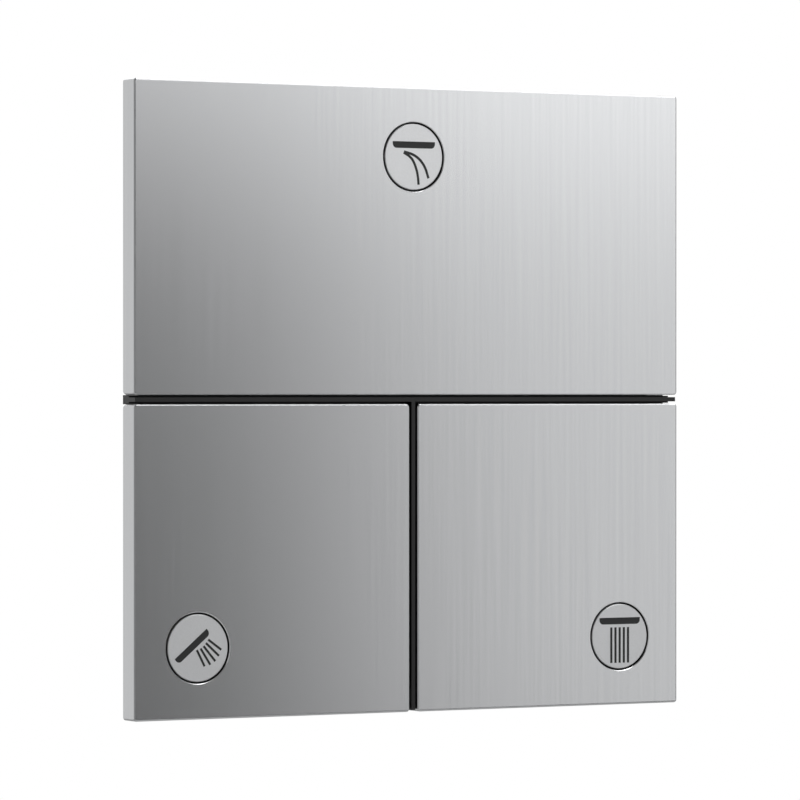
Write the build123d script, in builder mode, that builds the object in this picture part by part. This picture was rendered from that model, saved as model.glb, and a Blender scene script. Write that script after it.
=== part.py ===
from build123d import *

import os
from dataclasses import dataclass
from math import atan2, cos, radians, sin

# Concealed three-way shower diverter with rocking paddles, in millimetres.
# X runs right, Y into the wall and Z up; the finished wall is the plane y = 0
# and the visible plate is centred on the Y axis.

# Visible plate
PLATE_SIDE = 170.0
PADDLE_DEPTH = 6.0
FACE_WALL = 2.0
SKIRT_WALL = 1.6
SEAM_SKIRT_DEPTH = 3.8
SEAM_WIDTH = 2.5
OUTER_EDGE_RADIUS = 0.6
SEAM_EDGE_CHAMFER = 0.3
CORNER_RADIUS = 0.9
PADDLE_GAP = 0.4

# Symbol discs
DISC_RADIUS = 9.05
DISC_THICKNESS = 1.15
DISC_GROOVE = 0.4
DISC_CHAMFER = 0.15
DISC_EDGE_DISTANCE = 19.0
POCKET_DEPTH = 1.2
POCKET_CHAMFER = 0.3

# Seam bar
BAR_RIB_WIDTH = 1.2
BAR_RIB_RECESS = 0.3
BAR_GROOVE_DEPTH = 4.0
BAR_SIDE_CLEARANCE = 0.25
BAR_END_INSET = 0.5
BAR_TAB_LENGTH = 8.0
BAR_TAB_WIDTH = 1.2
BAR_TAB_DEPTH = 1.4
BAR_TAB_CLEARANCE = 0.05
BAR_TAB_INSET = 19.0
BAR_TAB_FOOT_INSET = 41.0

# Carrier plate and wall seal
CARRIER_INSET = 6.0
CARRIER_FLANGE = 1.5
CARRIER_RAISE = 1.6
RAISED_INSET = 33.0
CARRIER_CORNER = 4.0
CARRIER_VALVE_HOLE = 7.0
SEAL_THICKNESS = 1.5
SEAL_INSET = 4.0
SEAL_WIDTH = 6.0
SEAL_INNER_CORNER = 2.0

# Rocking motion; insets are measured from the plate's edge, setbacks from a seam
HINGE_FROM_CENTRE = 8.0
TOP_HINGE_INSET = 25.0
LOWER_HINGE_INSET = 15.0
LOWER_HINGE_SETBACK = 12.75
PRESS_ANGLE = 3.2
EAR_RADIUS = 2.0
EAR_CLEARANCE = 0.2
EAR_WIDTH = 3.0
LUG_WIDTH = 5.0
LUG_RADIUS_AT_HINGE = 1.9
LUG_SIDE_GAP = 0.2
PIN_RADIUS = 1.0
PIN_SEAT_CLEARANCE = 0.01
PIN_RUNNING_CLEARANCE = 0.05

# Paddle frames
FRAME_THICKNESS = 1.2
FRAME_FIT = 0.1
RIB_WIDTH = 1.2
RIB_HEIGHT = 0.6
RIM_WIDTH = 1.4
TOP_RIBS = 4
TOP_RIB_PITCH = 30.0
LOWER_RIB_SETBACK = 38.75
LOWER_RIB_PITCH = 16.0
PRESSER_RADIUS = 3.0
PRESSER_LENGTH = 1.8
WINDOW_CLEARANCE = 0.5

# Stop bumpers
BUMPER_RADIUS = 4.0
BUMPER_CROWN = 1.2
BUMPER_CROWN_RADIUS = 1.0
BUMPER_INSET = 41.0
TOP_BUMPER_SIDE_INSET = 25.0
LOWER_BUMPER_SIDE_INSET = 15.0
LOWER_BUMPER_SETBACK = 10.75
BUMPER_STOP_GAP = 0.08
BUMPER_STEM_RADIUS = 1.4
BUMPER_STEM_CLEARANCE = 0.05

# Valve places, measured from the plate's upper and lower edge and from its middle
TOP_VALVE_INSET = 43.0
LOWER_VALVE_INSET = 47.0
LOWER_VALVE_REACH = 26.0

# Push cap and push rod
CAP_GAP = 0.1
CAP_RADIUS = 4.5
CAP_CROWN = 0.9
CAP_CROWN_RADIUS = 1.0
CAP_LENGTH = 4.0
CAP_WALL = 2.4
ROD_RADIUS = 2.5
ROD_CLEARANCE = 0.08
CROWN_RADIUS = 5.0
CROWN_FRONT = 4.0
CROWN_LENGTH = 3.0
CROWN_BORE_DEPTH = 2.4

# Click ratchet, angles measured about the valve's axis
TEETH = 8
TOOTH_HEIGHT = 1.4
TOOTH_GAP = 0.1
TOOTH_ROOT = 0.3
LUGS = 4
ROTOR_LUG_HALF_ANGLE = 10.0
CROWN_LUG_HALF_ANGLE = 12.0
SLOT_HALF_ANGLE = 20.0
SLOT_PLAY = 1.0
LUG_RADIUS = 6.3
LUG_SETBACK = 0.3
LUG_SLOPE = 0.5
ROTOR_LENGTH = 2.8
GUIDE_RIB_RADIUS = 5.2
GUIDE_RIB_END = 10.8
GUIDE_RIB_SLOPE = 1.2
BORE_CLEARANCE = 0.08

# Spindle, spring and valve disc
SPINDLE_RADIUS = 2.2
SPINDLE_END_GAP = 0.4
COLLAR_RADIUS = 4.0
COLLAR_LENGTH = 1.4
COLLAR_GAP = 0.05
SPRING_WIRE = 0.8
SPRING_RADIUS = 3.1
SPRING_TURNS = 4.5
SPRING_END_GAP = 0.05
VALVE_DISC_RADIUS = 8.4
VALVE_DISC_THICKNESS = 2.0
VALVE_DISC_GAP = 0.05
VALVE_NUT_ACROSS_FLATS = 11.0
VALVE_NUT_THICKNESS = 2.0

# Cartridge cage
CAGE_FRONT = 1.0
CAGE_FRONT_WALL = 2.0
CAGE_NECK_RADIUS = 8.4
CAGE_RADIUS = 11.9
CHAMBER_RADIUS = 6.6
WEB_FRONT = 24.0
WEB_THICKNESS = 3.0
OUTLET_CHAMBER_RADIUS = 9.4
SEAT_THICKNESS = 3.0
SEAT_RADIUS = 7.2
WINDOW_LENGTH = 5.0
WINDOW_WIDTH = 11.0
GROOVE_WIDTH = 1.8
GROOVE_DEPTH = 1.6
FRONT_GROOVE_SETBACK = 1.1
REAR_GROOVE_SETBACK = 0.6
CAGE_SEAL_SECTION = 1.6
CAGE_SEAL_GAP = 0.02

# Cartridge nut
NUT_HEAD_LENGTH = 5.0
NUT_ACROSS_FLATS = 27.0
NUT_THREAD_CLEARANCE = 0.05
NUT_BORE_CLEARANCE = 0.2

# Manifold body
TOWER_FRONT = 12.0
TOWER_RADIUS = 17.5
COUNTERBORE_RADIUS = 14.2
SHOULDER_DEPTH = 18.0
SLAB_FRONT = 22.0
SLAB_REAR = 48.0
SLAB_MARGIN = 19.0
CAVITY_CLEARANCE = 0.1
SEAT_FLOOR = 36.0
OUTLET_GROOVE_RADIUS = 13.4
OUTLET_GROOVE_FRONT = 21.6
OUTLET_GROOVE_REAR = 33.2
PASSAGE_RADIUS = 5.5
REAR_BORE_RADIUS = 10.2
GALLERY_FRONT = 40.0
GALLERY_MARGIN = 10.6
FEED_HOLE_DROP = 22.0
FEED_HOLE_RADIUS = 6.5
FEED_HOLE_OVERRUN = 2.0
PORT_FACE_STEP = 0.6

# Mounting bars of the manifold
MOUNT_HOLE_REACH = 46.0
MOUNT_BAR_RADIUS = 8.0
MOUNT_BAR_THICKNESS = 7.0
UPPER_BAR_HEIGHT = 26.0
LOWER_BAR_INSET = 23.0
MOUNT_HOLE_RADIUS = 2.75

# Spacer posts and carrier screws
POST_REACH = 32.0
POST_ACROSS_FLATS = 9.0
CARRIER_HOLE_RADIUS = 2.2
SCREW_RADIUS = 1.95
SCREW_HEAD_RADIUS = 3.6
SCREW_HEAD_HEIGHT = 1.5
SCREW_LENGTH = 10.0
SCREW_SOCKET = 2.5
SCREW_SOCKET_DEPTH = 0.9
POST_BORE_DEPTH = 9.0
POST_SPIGOT_RADIUS = 2.4
POST_SPIGOT_LENGTH = 6.0

# Rear cover
GASKET_THICKNESS = 1.0
COVER_THICKNESS = 4.0
COVER_SCREW_RING = 15.0
COVER_CORNER_ANGLE = 45.0
COVER_SCREW_RADIUS = 1.6
COVER_SCREW_HEAD_RADIUS = 2.9
COVER_SCREW_HEAD_HEIGHT = 2.0
COVER_SCREW_GRIP = 6.0

# Half-inch nipples and their washers
NIPPLE_AXIS_DEPTH = 27.5
NIPPLE_RADIUS = 10.45
NIPPLE_BORE = 6.0
NIPPLE_LENGTH = 11.5
NIPPLE_COLLAR = 3.5
NIPPLE_ACROSS_FLATS = 24.0
NIPPLE_HEX_TURN = 30.0
NIPPLE_INSERT_RADIUS = 8.5
NIPPLE_INSERT_LENGTH = 5.0
PORT_BOSS_WIDTH = 25.0
WASHER_THICKNESS = 1.0
WASHER_RADIUS = 12.0

# Depths that follow from the stack between the wall and the front face
half_side = PLATE_SIDE / 2
half_seam = SEAM_WIDTH / 2
flange_front = -SEAL_THICKNESS - CARRIER_FLANGE
carrier_front = flange_front - CARRIER_RAISE
paddle_rear = carrier_front - PADDLE_GAP
face_front = paddle_rear - PADDLE_DEPTH
face_rear = face_front + FACE_WALL
frame_rear = face_rear + FRAME_THICKNESS
rib_rear = frame_rear + RIB_HEIGHT
hinge_depth = face_rear + EAR_RADIUS + EAR_CLEARANCE
presser_rear = frame_rear + PRESSER_LENGTH
carrier_half = half_side - CARRIER_INSET
disc_distance = half_side - DISC_EDGE_DISTANCE
bar_base_half = half_seam - BAR_SIDE_CLEARANCE
bar_half_length = half_side - BAR_END_INSET
bar_tab_reach = half_side - BAR_TAB_INSET
bar_tab_drop = half_side - BAR_TAB_FOOT_INSET
raised_half_height = half_side - RAISED_INSET
bumper_distance = half_side - BUMPER_INSET
top_valve_height = half_side - TOP_VALVE_INSET
lower_valve_drop = half_side - LOWER_VALVE_INSET
lower_bar_drop = half_side - LOWER_BAR_INSET

ear_centre = (LUG_WIDTH + EAR_WIDTH) / 2 + LUG_SIDE_GAP
pin_half = ear_centre + EAR_WIDTH / 2
seal_half = carrier_half - SEAL_INSET

# Bumper height: it meets the tilted face at the end of the stroke
press = radians(PRESS_ANGLE)
bumper_lever = bumper_distance - HINGE_FROM_CENTRE
bumper_front = (
    hinge_depth - (hinge_depth - face_rear) * cos(press) + bumper_lever * sin(press) + BUMPER_STOP_GAP
)

# Depths along a valve, from its push cap to its seat
cap_front = presser_rear + CAP_GAP
rod_front = cap_front + CAP_WALL
crown_rear = CROWN_FRONT + CROWN_LENGTH
rotor_tip = crown_rear + TOOTH_HEIGHT / 2 + TOOTH_GAP
rotor_base = rotor_tip + TOOTH_HEIGHT
rotor_rear = rotor_base + ROTOR_LENGTH
spindle_front = crown_rear - CROWN_BORE_DEPTH + SPINDLE_END_GAP
collar_front = rotor_rear + COLLAR_GAP
collar_rear = collar_front + COLLAR_LENGTH
web_rear = WEB_FRONT + WEB_THICKNESS
seat_front = SEAT_FLOOR - SEAT_THICKNESS
spring_front = collar_rear + SPRING_WIRE / 2 + SPRING_END_GAP
spring_rear = WEB_FRONT - SPRING_WIRE / 2 - SPRING_END_GAP
valve_disc_front = SEAT_FLOOR + VALVE_DISC_GAP
valve_disc_rear = valve_disc_front + VALVE_DISC_THICKNESS
spindle_bore = SPINDLE_RADIUS + BORE_CLEARANCE
tooth_pitch = 360 / TEETH
tooth_inner = spindle_bore / cos(radians(tooth_pitch / 2))
lug_pitch = 360 / LUGS
rotor_rest_turn = SLOT_HALF_ANGLE - ROTOR_LUG_HALF_ANGLE - SLOT_PLAY
seal_depths = (
    SHOULDER_DEPTH + FRONT_GROOVE_SETBACK + GROOVE_WIDTH / 2,
    SEAT_FLOOR - REAR_GROOVE_SETBACK - GROOVE_WIDTH / 2,
)
seal_ring_radius = CAGE_RADIUS + CAVITY_CLEARANCE - CAGE_SEAL_GAP - CAGE_SEAL_SECTION / 2
nipple_reach = WASHER_THICKNESS + NIPPLE_COLLAR + NIPPLE_LENGTH
mount_bar_front = SLAB_REAR - MOUNT_BAR_THICKNESS
cover_rear = SLAB_REAR + GASKET_THICKNESS + COVER_THICKNESS


def facing(depth):
    """Plane parallel to the wall at a depth, drawn as seen from the room."""
    return Plane.XZ.offset(-depth)


def save(part, name):
    """Label a finished piece and write it to its own file."""
    part.label = name
    export_step(part, f"parts/{name}.step")


@dataclass(frozen=True)
class Paddle:
    """One rocking paddle: its field of the plate and what acts on it."""

    name: str
    left: float
    right: float
    side: int
    disc_x: float
    station_x: tuple
    bumper_x: tuple
    rib_x: tuple

    @property
    def centre_x(self):
        """Middle of the field across the plate."""
        return (self.left + self.right) / 2

    @property
    def centre_z(self):
        """Middle of the field up the plate."""
        return self.side * (half_side + half_seam) / 2

    @property
    def width(self):
        """Width of the field."""
        return self.right - self.left

    @property
    def height(self):
        """Height of the field."""
        return half_side - half_seam

    @property
    def hand(self):
        """1 with the upright seam on its right, -1 with it on its left, 0 with none."""
        return (self.right < 0) - (self.left > 0)

    @property
    def hinge_z(self):
        """Height of the hinge axis."""
        return self.side * HINGE_FROM_CENTRE


@dataclass(frozen=True)
class Valve:
    """One on-off valve: its axis runs into the wall through (x, z)."""

    name: str
    x: float
    z: float
    outlet: tuple

    @property
    def axis(self):
        """Centre line, pointing into the wall."""
        return Axis((self.x, 0, self.z), (0, 1, 0))

    @property
    def half_plane(self):
        """Plane through the axis, drawn as (radius, depth)."""
        return Plane(origin=(self.x, 0, self.z), x_dir=(1, 0, 0), z_dir=(0, 0, 1))

    def plane(self, depth):
        """Plane square to the axis at a depth, facing into the wall."""
        return Plane(origin=(self.x, depth, self.z), x_dir=(1, 0, 0), z_dir=(0, 1, 0))

    def outline(self, *points):
        """Face of a turned shape from its (radius, depth) corners."""
        with BuildSketch(self.half_plane) as section:
            with BuildLine():
                Polyline(*points, close=True)
            make_face()
        return section.sketch

    def side_plane(self, angle, reach):
        """Plane facing outwards at an angle about the axis, drawn as (along, depth)."""
        turn = radians(angle)
        return Plane(
            origin=(self.x + reach * cos(turn), 0, self.z - reach * sin(turn)),
            x_dir=(-sin(turn), 0, -cos(turn)),
            z_dir=(cos(turn), 0, -sin(turn)),
        )

    def wedge(self, angle, half_angle, inner, outer, base, low, high):
        """Tooth between two radii that stands on base and ends in a slope.

        The slope runs from low, at angle - half_angle, to high at the other
        side, and both flanks point at the axis.
        """
        with BuildPart() as tooth:
            for radius in (inner, outer):
                reach = radius * cos(radians(half_angle))
                half = radius * sin(radians(half_angle))
                with BuildSketch(self.side_plane(angle, reach)):
                    with BuildLine():
                        Polyline((-half, base), (half, base), (half, high), (-half, low), close=True)
                    make_face()
            loft(ruled=True)
        return tooth.part


@dataclass(frozen=True)
class Port:
    """One water connection: the flat its nipple seats on, facing outwards."""

    name: str
    face: Plane
    passage: float


def front_edges(shell, paddle, on_seam):
    """Edges round a shell's face that lie along a seam, or all the others."""
    chosen = ShapeList()
    for edge in shell.faces().sort_by(Axis.Y)[0].edges():
        middle = edge.center()
        near_seam = abs(abs(middle.Z) - half_seam) < CORNER_RADIUS
        if paddle.side < 0:
            near_seam = near_seam or abs(abs(middle.X) - half_seam) < CORNER_RADIUS
        if near_seam == on_seam:
            chosen.append(edge)
    return chosen


# Places across the plate of the hinges, bumpers and ribs of each paddle
top_hinge = half_side - TOP_HINGE_INSET
top_bumper = half_side - TOP_BUMPER_SIDE_INSET
top_ribs = tuple((rib - (TOP_RIBS - 1) / 2) * TOP_RIB_PITCH for rib in range(TOP_RIBS))
lower_hinges = (half_seam + LOWER_HINGE_SETBACK, half_side - LOWER_HINGE_INSET)
lower_bumpers = (half_seam + LOWER_BUMPER_SETBACK, half_side - LOWER_BUMPER_SIDE_INSET)
lower_ribs = (half_seam + LOWER_RIB_SETBACK, half_seam + LOWER_RIB_SETBACK + LOWER_RIB_PITCH)


def mirrored(places):
    """The same places on the left of the plate."""
    return tuple(-place for place in places)


PADDLES = (
    Paddle(
        name="top",
        left=-half_side,
        right=half_side,
        side=1,
        disc_x=0.0,
        station_x=(-top_hinge, top_hinge),
        bumper_x=(-top_bumper, top_bumper),
        rib_x=top_ribs,
    ),
    Paddle(
        name="left",
        left=-half_side,
        right=-half_seam,
        side=-1,
        disc_x=-disc_distance,
        station_x=mirrored(lower_hinges),
        bumper_x=mirrored(lower_bumpers),
        rib_x=mirrored(lower_ribs),
    ),
    Paddle(
        name="right",
        left=half_seam,
        right=half_side,
        side=-1,
        disc_x=disc_distance,
        station_x=lower_hinges,
        bumper_x=lower_bumpers,
        rib_x=lower_ribs,
    ),
)

VALVES = (
    Valve("top", 0.0, top_valve_height, (0, 0, 1)),
    Valve("left", -LOWER_VALVE_REACH, -lower_valve_drop, (-1, 0, 0)),
    Valve("right", LOWER_VALVE_REACH, -lower_valve_drop, (1, 0, 0)),
)

valve_places = [(valve.x, valve.z) for valve in VALVES]
bar_heights = (UPPER_BAR_HEIGHT, -lower_bar_drop)
post_places = [(x, z) for x in (-POST_REACH, POST_REACH) for z in bar_heights]
mount_places = [(x, z) for x in (-MOUNT_HOLE_REACH, MOUNT_HOLE_REACH) for z in bar_heights]
bumper_places = [(x, paddle.side * bumper_distance) for paddle in PADDLES for x in paddle.bumper_x]

# Ports: one outlet beside each valve, the inlet below the lower two
port_distance = SLAB_MARGIN + PORT_FACE_STEP
ports = [
    Port(
        f"{valve.name}_outlet",
        Plane(
            origin=(
                valve.x + valve.outlet[0] * port_distance,
                NIPPLE_AXIS_DEPTH,
                valve.z + valve.outlet[2] * port_distance,
            ),
            x_dir=(0, 1, 0),
            z_dir=valve.outlet,
        ),
        port_distance,
    )
    for valve in VALVES
]
ports.append(
    Port(
        "inlet",
        Plane(
            origin=(0, NIPPLE_AXIS_DEPTH, -lower_valve_drop - port_distance),
            x_dir=(0, 1, 0),
            z_dir=(0, 0, -1),
        ),
        lower_valve_drop + port_distance - FEED_HOLE_DROP,
    )
)

# Cover screws: one outside each valve and one along each side of the body
valve_rise = top_valve_height + lower_valve_drop
edge_angle = atan2(LOWER_VALVE_REACH, valve_rise)
side_screw_x = LOWER_VALVE_REACH / 2 + COVER_SCREW_RING * cos(edge_angle)
side_screw_z = top_valve_height - valve_rise / 2 + COVER_SCREW_RING * sin(edge_angle)
corner_screw_x = LOWER_VALVE_REACH + COVER_SCREW_RING * cos(radians(COVER_CORNER_ANGLE))
corner_screw_z = -lower_valve_drop - COVER_SCREW_RING * sin(radians(COVER_CORNER_ANGLE))
cover_screw_places = [
    (0, top_valve_height + COVER_SCREW_RING),
    (0, -lower_valve_drop - COVER_SCREW_RING),
    (-side_screw_x, side_screw_z),
    (side_screw_x, side_screw_z),
    (-corner_screw_x, corner_screw_z),
    (corner_screw_x, corner_screw_z),
]

# Outlines of the body and of the inlet gallery behind its valves
with BuildSketch() as body_outline:
    with Locations(valve_places):
        Circle(SLAB_MARGIN)
    make_hull()
with BuildSketch() as gallery_outline:
    with Locations(valve_places):
        Circle(GALLERY_MARGIN)
    make_hull()

os.makedirs("parts", exist_ok=True)

# Paddle shells
for paddle in PADDLES:
    with BuildPart() as shell:
        with BuildSketch(facing(paddle_rear)):
            with Locations((paddle.centre_x, paddle.centre_z)):
                Rectangle(paddle.width, paddle.height)
        extrude(amount=PADDLE_DEPTH)
        fillet(shell.edges().filter_by(Axis.Y), CORNER_RADIUS)

        # Fine break along the seams, rounder edge along the plate's outside
        chamfer(front_edges(shell, paddle, on_seam=True), SEAM_EDGE_CHAMFER)
        fillet(front_edges(shell, paddle, on_seam=False), OUTER_EDGE_RADIUS)

        # Hollow behind the face
        with BuildSketch(facing(paddle_rear)):
            with Locations((paddle.centre_x, paddle.centre_z)):
                Rectangle(paddle.width - 2 * SKIRT_WALL, paddle.height - 2 * SKIRT_WALL)
        extrude(amount=paddle_rear - face_rear, mode=Mode.SUBTRACT)

        # Shallow skirt along the upright seam, where the paddle rocks past the carrier
        if paddle.side < 0:
            seam_skirt_x = (paddle.left if paddle.left > 0 else paddle.right) - paddle.hand * SKIRT_WALL / 2
            with BuildSketch(facing(paddle_rear)):
                with Locations((seam_skirt_x, paddle.centre_z)):
                    Rectangle(SKIRT_WALL, paddle.height - 2 * SKIRT_WALL)
            extrude(amount=PADDLE_DEPTH - SEAM_SKIRT_DEPTH, mode=Mode.SUBTRACT)

        # Pocket of the symbol disc
        with BuildSketch(facing(face_front)):
            with Locations((paddle.disc_x, paddle.side * disc_distance)):
                Circle(DISC_RADIUS + DISC_GROOVE)
        extrude(amount=-POCKET_DEPTH, mode=Mode.SUBTRACT)
        widest_circles = shell.edges().filter_by(GeomType.CIRCLE).group_by(SortBy.RADIUS)[-1]
        chamfer(widest_circles.sort_by(Axis.Y)[0], POCKET_CHAMFER)
    save(shell.part, f"{paddle.name}_paddle_shell")

# Symbol discs
for paddle in PADDLES:
    with BuildPart() as disc:
        with BuildSketch(facing(face_front + POCKET_DEPTH)):
            with Locations((paddle.disc_x, paddle.side * disc_distance)):
                Circle(DISC_RADIUS)
        extrude(amount=DISC_THICKNESS)
        chamfer(disc.edges().group_by(Axis.Y)[0], DISC_CHAMFER)
    save(disc.part, f"{paddle.name}_symbol_disc")

# Paddle frames
for paddle in PADDLES:
    valve = next(valve for valve in VALVES if valve.name == paddle.name)
    frame_width = paddle.width - 2 * (SKIRT_WALL + FRAME_FIT)
    frame_height = paddle.height - 2 * (SKIRT_WALL + FRAME_FIT)
    with BuildPart() as frame:
        with BuildSketch(facing(frame_rear)):
            with Locations((paddle.centre_x, paddle.centre_z)):
                Rectangle(frame_width, frame_height)
        extrude(amount=FRAME_THICKNESS)

        # Rim and upright ribs
        with BuildSketch(facing(rib_rear)):
            with Locations((paddle.centre_x, paddle.centre_z)):
                Rectangle(frame_width, frame_height)
                Rectangle(frame_width - 2 * RIM_WIDTH, frame_height - 2 * RIM_WIDTH, mode=Mode.SUBTRACT)
            with Locations([(x, paddle.centre_z) for x in paddle.rib_x]):
                Rectangle(RIB_WIDTH, frame_height)
        extrude(amount=RIB_HEIGHT)

        # Windows for the carrier's ears and the stop bumpers
        with BuildSketch(facing(rib_rear)):
            for x in paddle.station_x:
                with Locations([(x + offset, paddle.hinge_z) for offset in (-ear_centre, ear_centre)]):
                    Rectangle(EAR_WIDTH + 2 * LUG_SIDE_GAP, 2 * (EAR_RADIUS + WINDOW_CLEARANCE))
            with Locations([(x, paddle.side * bumper_distance) for x in paddle.bumper_x]):
                Circle(BUMPER_RADIUS + WINDOW_CLEARANCE)
        extrude(amount=FRAME_THICKNESS + RIB_HEIGHT, mode=Mode.SUBTRACT)

        # Hinge lugs between the carrier's ears
        for x in paddle.station_x:
            with BuildSketch(Plane.YZ.offset(x - LUG_WIDTH / 2)):
                with Locations((hinge_depth, paddle.hinge_z)):
                    Circle(LUG_RADIUS_AT_HINGE)
                with Locations(((hinge_depth + frame_rear - FRAME_THICKNESS / 2) / 2, paddle.hinge_z)):
                    Rectangle(hinge_depth - frame_rear + FRAME_THICKNESS / 2, 2 * LUG_RADIUS_AT_HINGE)
                with Locations((hinge_depth, paddle.hinge_z)):
                    Circle(PIN_RADIUS + PIN_RUNNING_CLEARANCE, mode=Mode.SUBTRACT)
            extrude(amount=LUG_WIDTH)

        # Presser over the push cap
        with BuildSketch(facing(presser_rear)):
            with Locations((valve.x, valve.z)):
                Circle(PRESSER_RADIUS)
        extrude(amount=PRESSER_LENGTH)
    save(frame.part, f"{paddle.name}_paddle_frame")

# Seam bar between the paddles
with BuildPart() as seam_bar:
    with BuildSketch(facing(carrier_front)):
        Rectangle(2 * bar_half_length, 2 * bar_base_half)
        with Locations((0, -bar_half_length / 2)):
            Rectangle(2 * bar_base_half, bar_half_length)
    extrude(amount=carrier_front - face_front - BAR_GROOVE_DEPTH)
    with BuildSketch(facing(face_front + BAR_GROOVE_DEPTH)):
        Rectangle(2 * bar_half_length, BAR_RIB_WIDTH)
        with Locations((0, -bar_half_length / 2)):
            Rectangle(BAR_RIB_WIDTH, bar_half_length)
    extrude(amount=BAR_GROOVE_DEPTH - BAR_RIB_RECESS)
    with BuildSketch(facing(carrier_front + BAR_TAB_DEPTH)):
        with Locations((-bar_tab_reach, 0), (bar_tab_reach, 0)):
            Rectangle(BAR_TAB_LENGTH, BAR_TAB_WIDTH)
        with Locations((0, -bar_tab_drop)):
            Rectangle(BAR_TAB_WIDTH, BAR_TAB_LENGTH)
    extrude(amount=BAR_TAB_DEPTH)
save(seam_bar.part, "seam_bar")

# Carrier plate with its hinge ears
with BuildPart() as carrier:
    with BuildSketch(facing(-SEAL_THICKNESS)):
        RectangleRounded(2 * carrier_half, 2 * carrier_half, CARRIER_CORNER)
    extrude(amount=CARRIER_FLANGE)
    with BuildSketch(facing(flange_front)):
        Rectangle(2 * carrier_half, 2 * raised_half_height)
        with Locations((0, -(raised_half_height + carrier_half) / 2)):
            Rectangle(2 * bar_base_half, carrier_half - raised_half_height)
    extrude(amount=CARRIER_RAISE)
    for paddle in PADDLES:
        for x in paddle.station_x:
            for offset in (-ear_centre, ear_centre):
                with BuildSketch(Plane.YZ.offset(x + offset - EAR_WIDTH / 2)):
                    with Locations((hinge_depth, paddle.hinge_z)):
                        Circle(EAR_RADIUS)
                    with Locations(((hinge_depth + carrier_front) / 2, paddle.hinge_z)):
                        Rectangle(carrier_front - hinge_depth, 2 * EAR_RADIUS)
                    with Locations((hinge_depth, paddle.hinge_z)):
                        Circle(PIN_RADIUS + PIN_SEAT_CLEARANCE, mode=Mode.SUBTRACT)
                extrude(amount=EAR_WIDTH)
    with BuildSketch(facing(-SEAL_THICKNESS)):
        with Locations(valve_places):
            Circle(CARRIER_VALVE_HOLE)
        with Locations(post_places):
            Circle(CARRIER_HOLE_RADIUS)
        with Locations(bumper_places):
            Circle(BUMPER_STEM_RADIUS + BUMPER_STEM_CLEARANCE)
        slot_length = BAR_TAB_LENGTH + 2 * BAR_TAB_CLEARANCE
        slot_width = BAR_TAB_WIDTH + 2 * BAR_TAB_CLEARANCE
        with Locations((-bar_tab_reach, 0), (bar_tab_reach, 0)):
            Rectangle(slot_length, slot_width)
        with Locations((0, -bar_tab_drop)):
            Rectangle(slot_width, slot_length)
    extrude(amount=CARRIER_FLANGE + CARRIER_RAISE, mode=Mode.SUBTRACT)
save(carrier.part, "carrier_plate")

# Wall seal behind the carrier
with BuildPart() as wall_seal:
    with BuildSketch(facing(0)):
        RectangleRounded(2 * seal_half, 2 * seal_half, CARRIER_CORNER)
        RectangleRounded(
            2 * (seal_half - SEAL_WIDTH), 2 * (seal_half - SEAL_WIDTH), SEAL_INNER_CORNER, mode=Mode.SUBTRACT
        )
    extrude(amount=SEAL_THICKNESS)
save(wall_seal.part, "wall_seal")

# Hinge pins
with BuildPart() as hinge_pins:
    for paddle in PADDLES:
        for x in paddle.station_x:
            with BuildSketch(Plane.YZ.offset(x - pin_half)):
                with Locations((hinge_depth, paddle.hinge_z)):
                    Circle(PIN_RADIUS)
            extrude(amount=2 * pin_half)
save(hinge_pins.part, "hinge_pins")

# Stop bumpers
with BuildPart() as bumper:
    with BuildSketch(Plane.XY):
        with BuildLine():
            Polyline(
                (0, bumper_front),
                (BUMPER_CROWN_RADIUS, bumper_front),
                (BUMPER_RADIUS, bumper_front + BUMPER_CROWN),
                (BUMPER_RADIUS, carrier_front),
                (BUMPER_STEM_RADIUS, carrier_front),
                (BUMPER_STEM_RADIUS, -SEAL_THICKNESS),
                (0, -SEAL_THICKNESS),
                close=True,
            )
        make_face()
    revolve(axis=Axis.Y)

with BuildPart() as stop_bumpers:
    with Locations([(x, 0, z) for x, z in bumper_places]):
        add(bumper.part)
save(stop_bumpers.part, "stop_bumpers")

# Spacer posts between the manifold and the carrier
with BuildPart() as carrier_posts:
    with BuildSketch(facing(mount_bar_front)):
        with Locations(post_places):
            RegularPolygon(POST_ACROSS_FLATS / 2, 6, major_radius=False)
    extrude(amount=mount_bar_front + SEAL_THICKNESS)
    with BuildSketch(facing(mount_bar_front + POST_SPIGOT_LENGTH)):
        with Locations(post_places):
            Circle(POST_SPIGOT_RADIUS)
    extrude(amount=POST_SPIGOT_LENGTH)
    with BuildSketch(facing(POST_BORE_DEPTH - SEAL_THICKNESS)):
        with Locations(post_places):
            Circle(SCREW_RADIUS)
    extrude(amount=POST_BORE_DEPTH, mode=Mode.SUBTRACT)
save(carrier_posts.part, "carrier_posts")

# Carrier screws
with BuildPart() as carrier_screws:
    for x, z in post_places:
        seat = carrier_front if abs(z) < raised_half_height else flange_front
        with BuildSketch(facing(seat)):
            with Locations((x, z)):
                Circle(SCREW_HEAD_RADIUS)
        extrude(amount=SCREW_HEAD_HEIGHT)
        with BuildSketch(facing(seat + SCREW_LENGTH)):
            with Locations((x, z)):
                Circle(SCREW_RADIUS)
        extrude(amount=SCREW_LENGTH)
        with BuildSketch(facing(seat - SCREW_HEAD_HEIGHT + SCREW_SOCKET_DEPTH)):
            with Locations((x, z)):
                RegularPolygon(SCREW_SOCKET / 2, 6, major_radius=False)
        extrude(amount=SCREW_SOCKET_DEPTH, mode=Mode.SUBTRACT)
save(carrier_screws.part, "carrier_screws")

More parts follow.
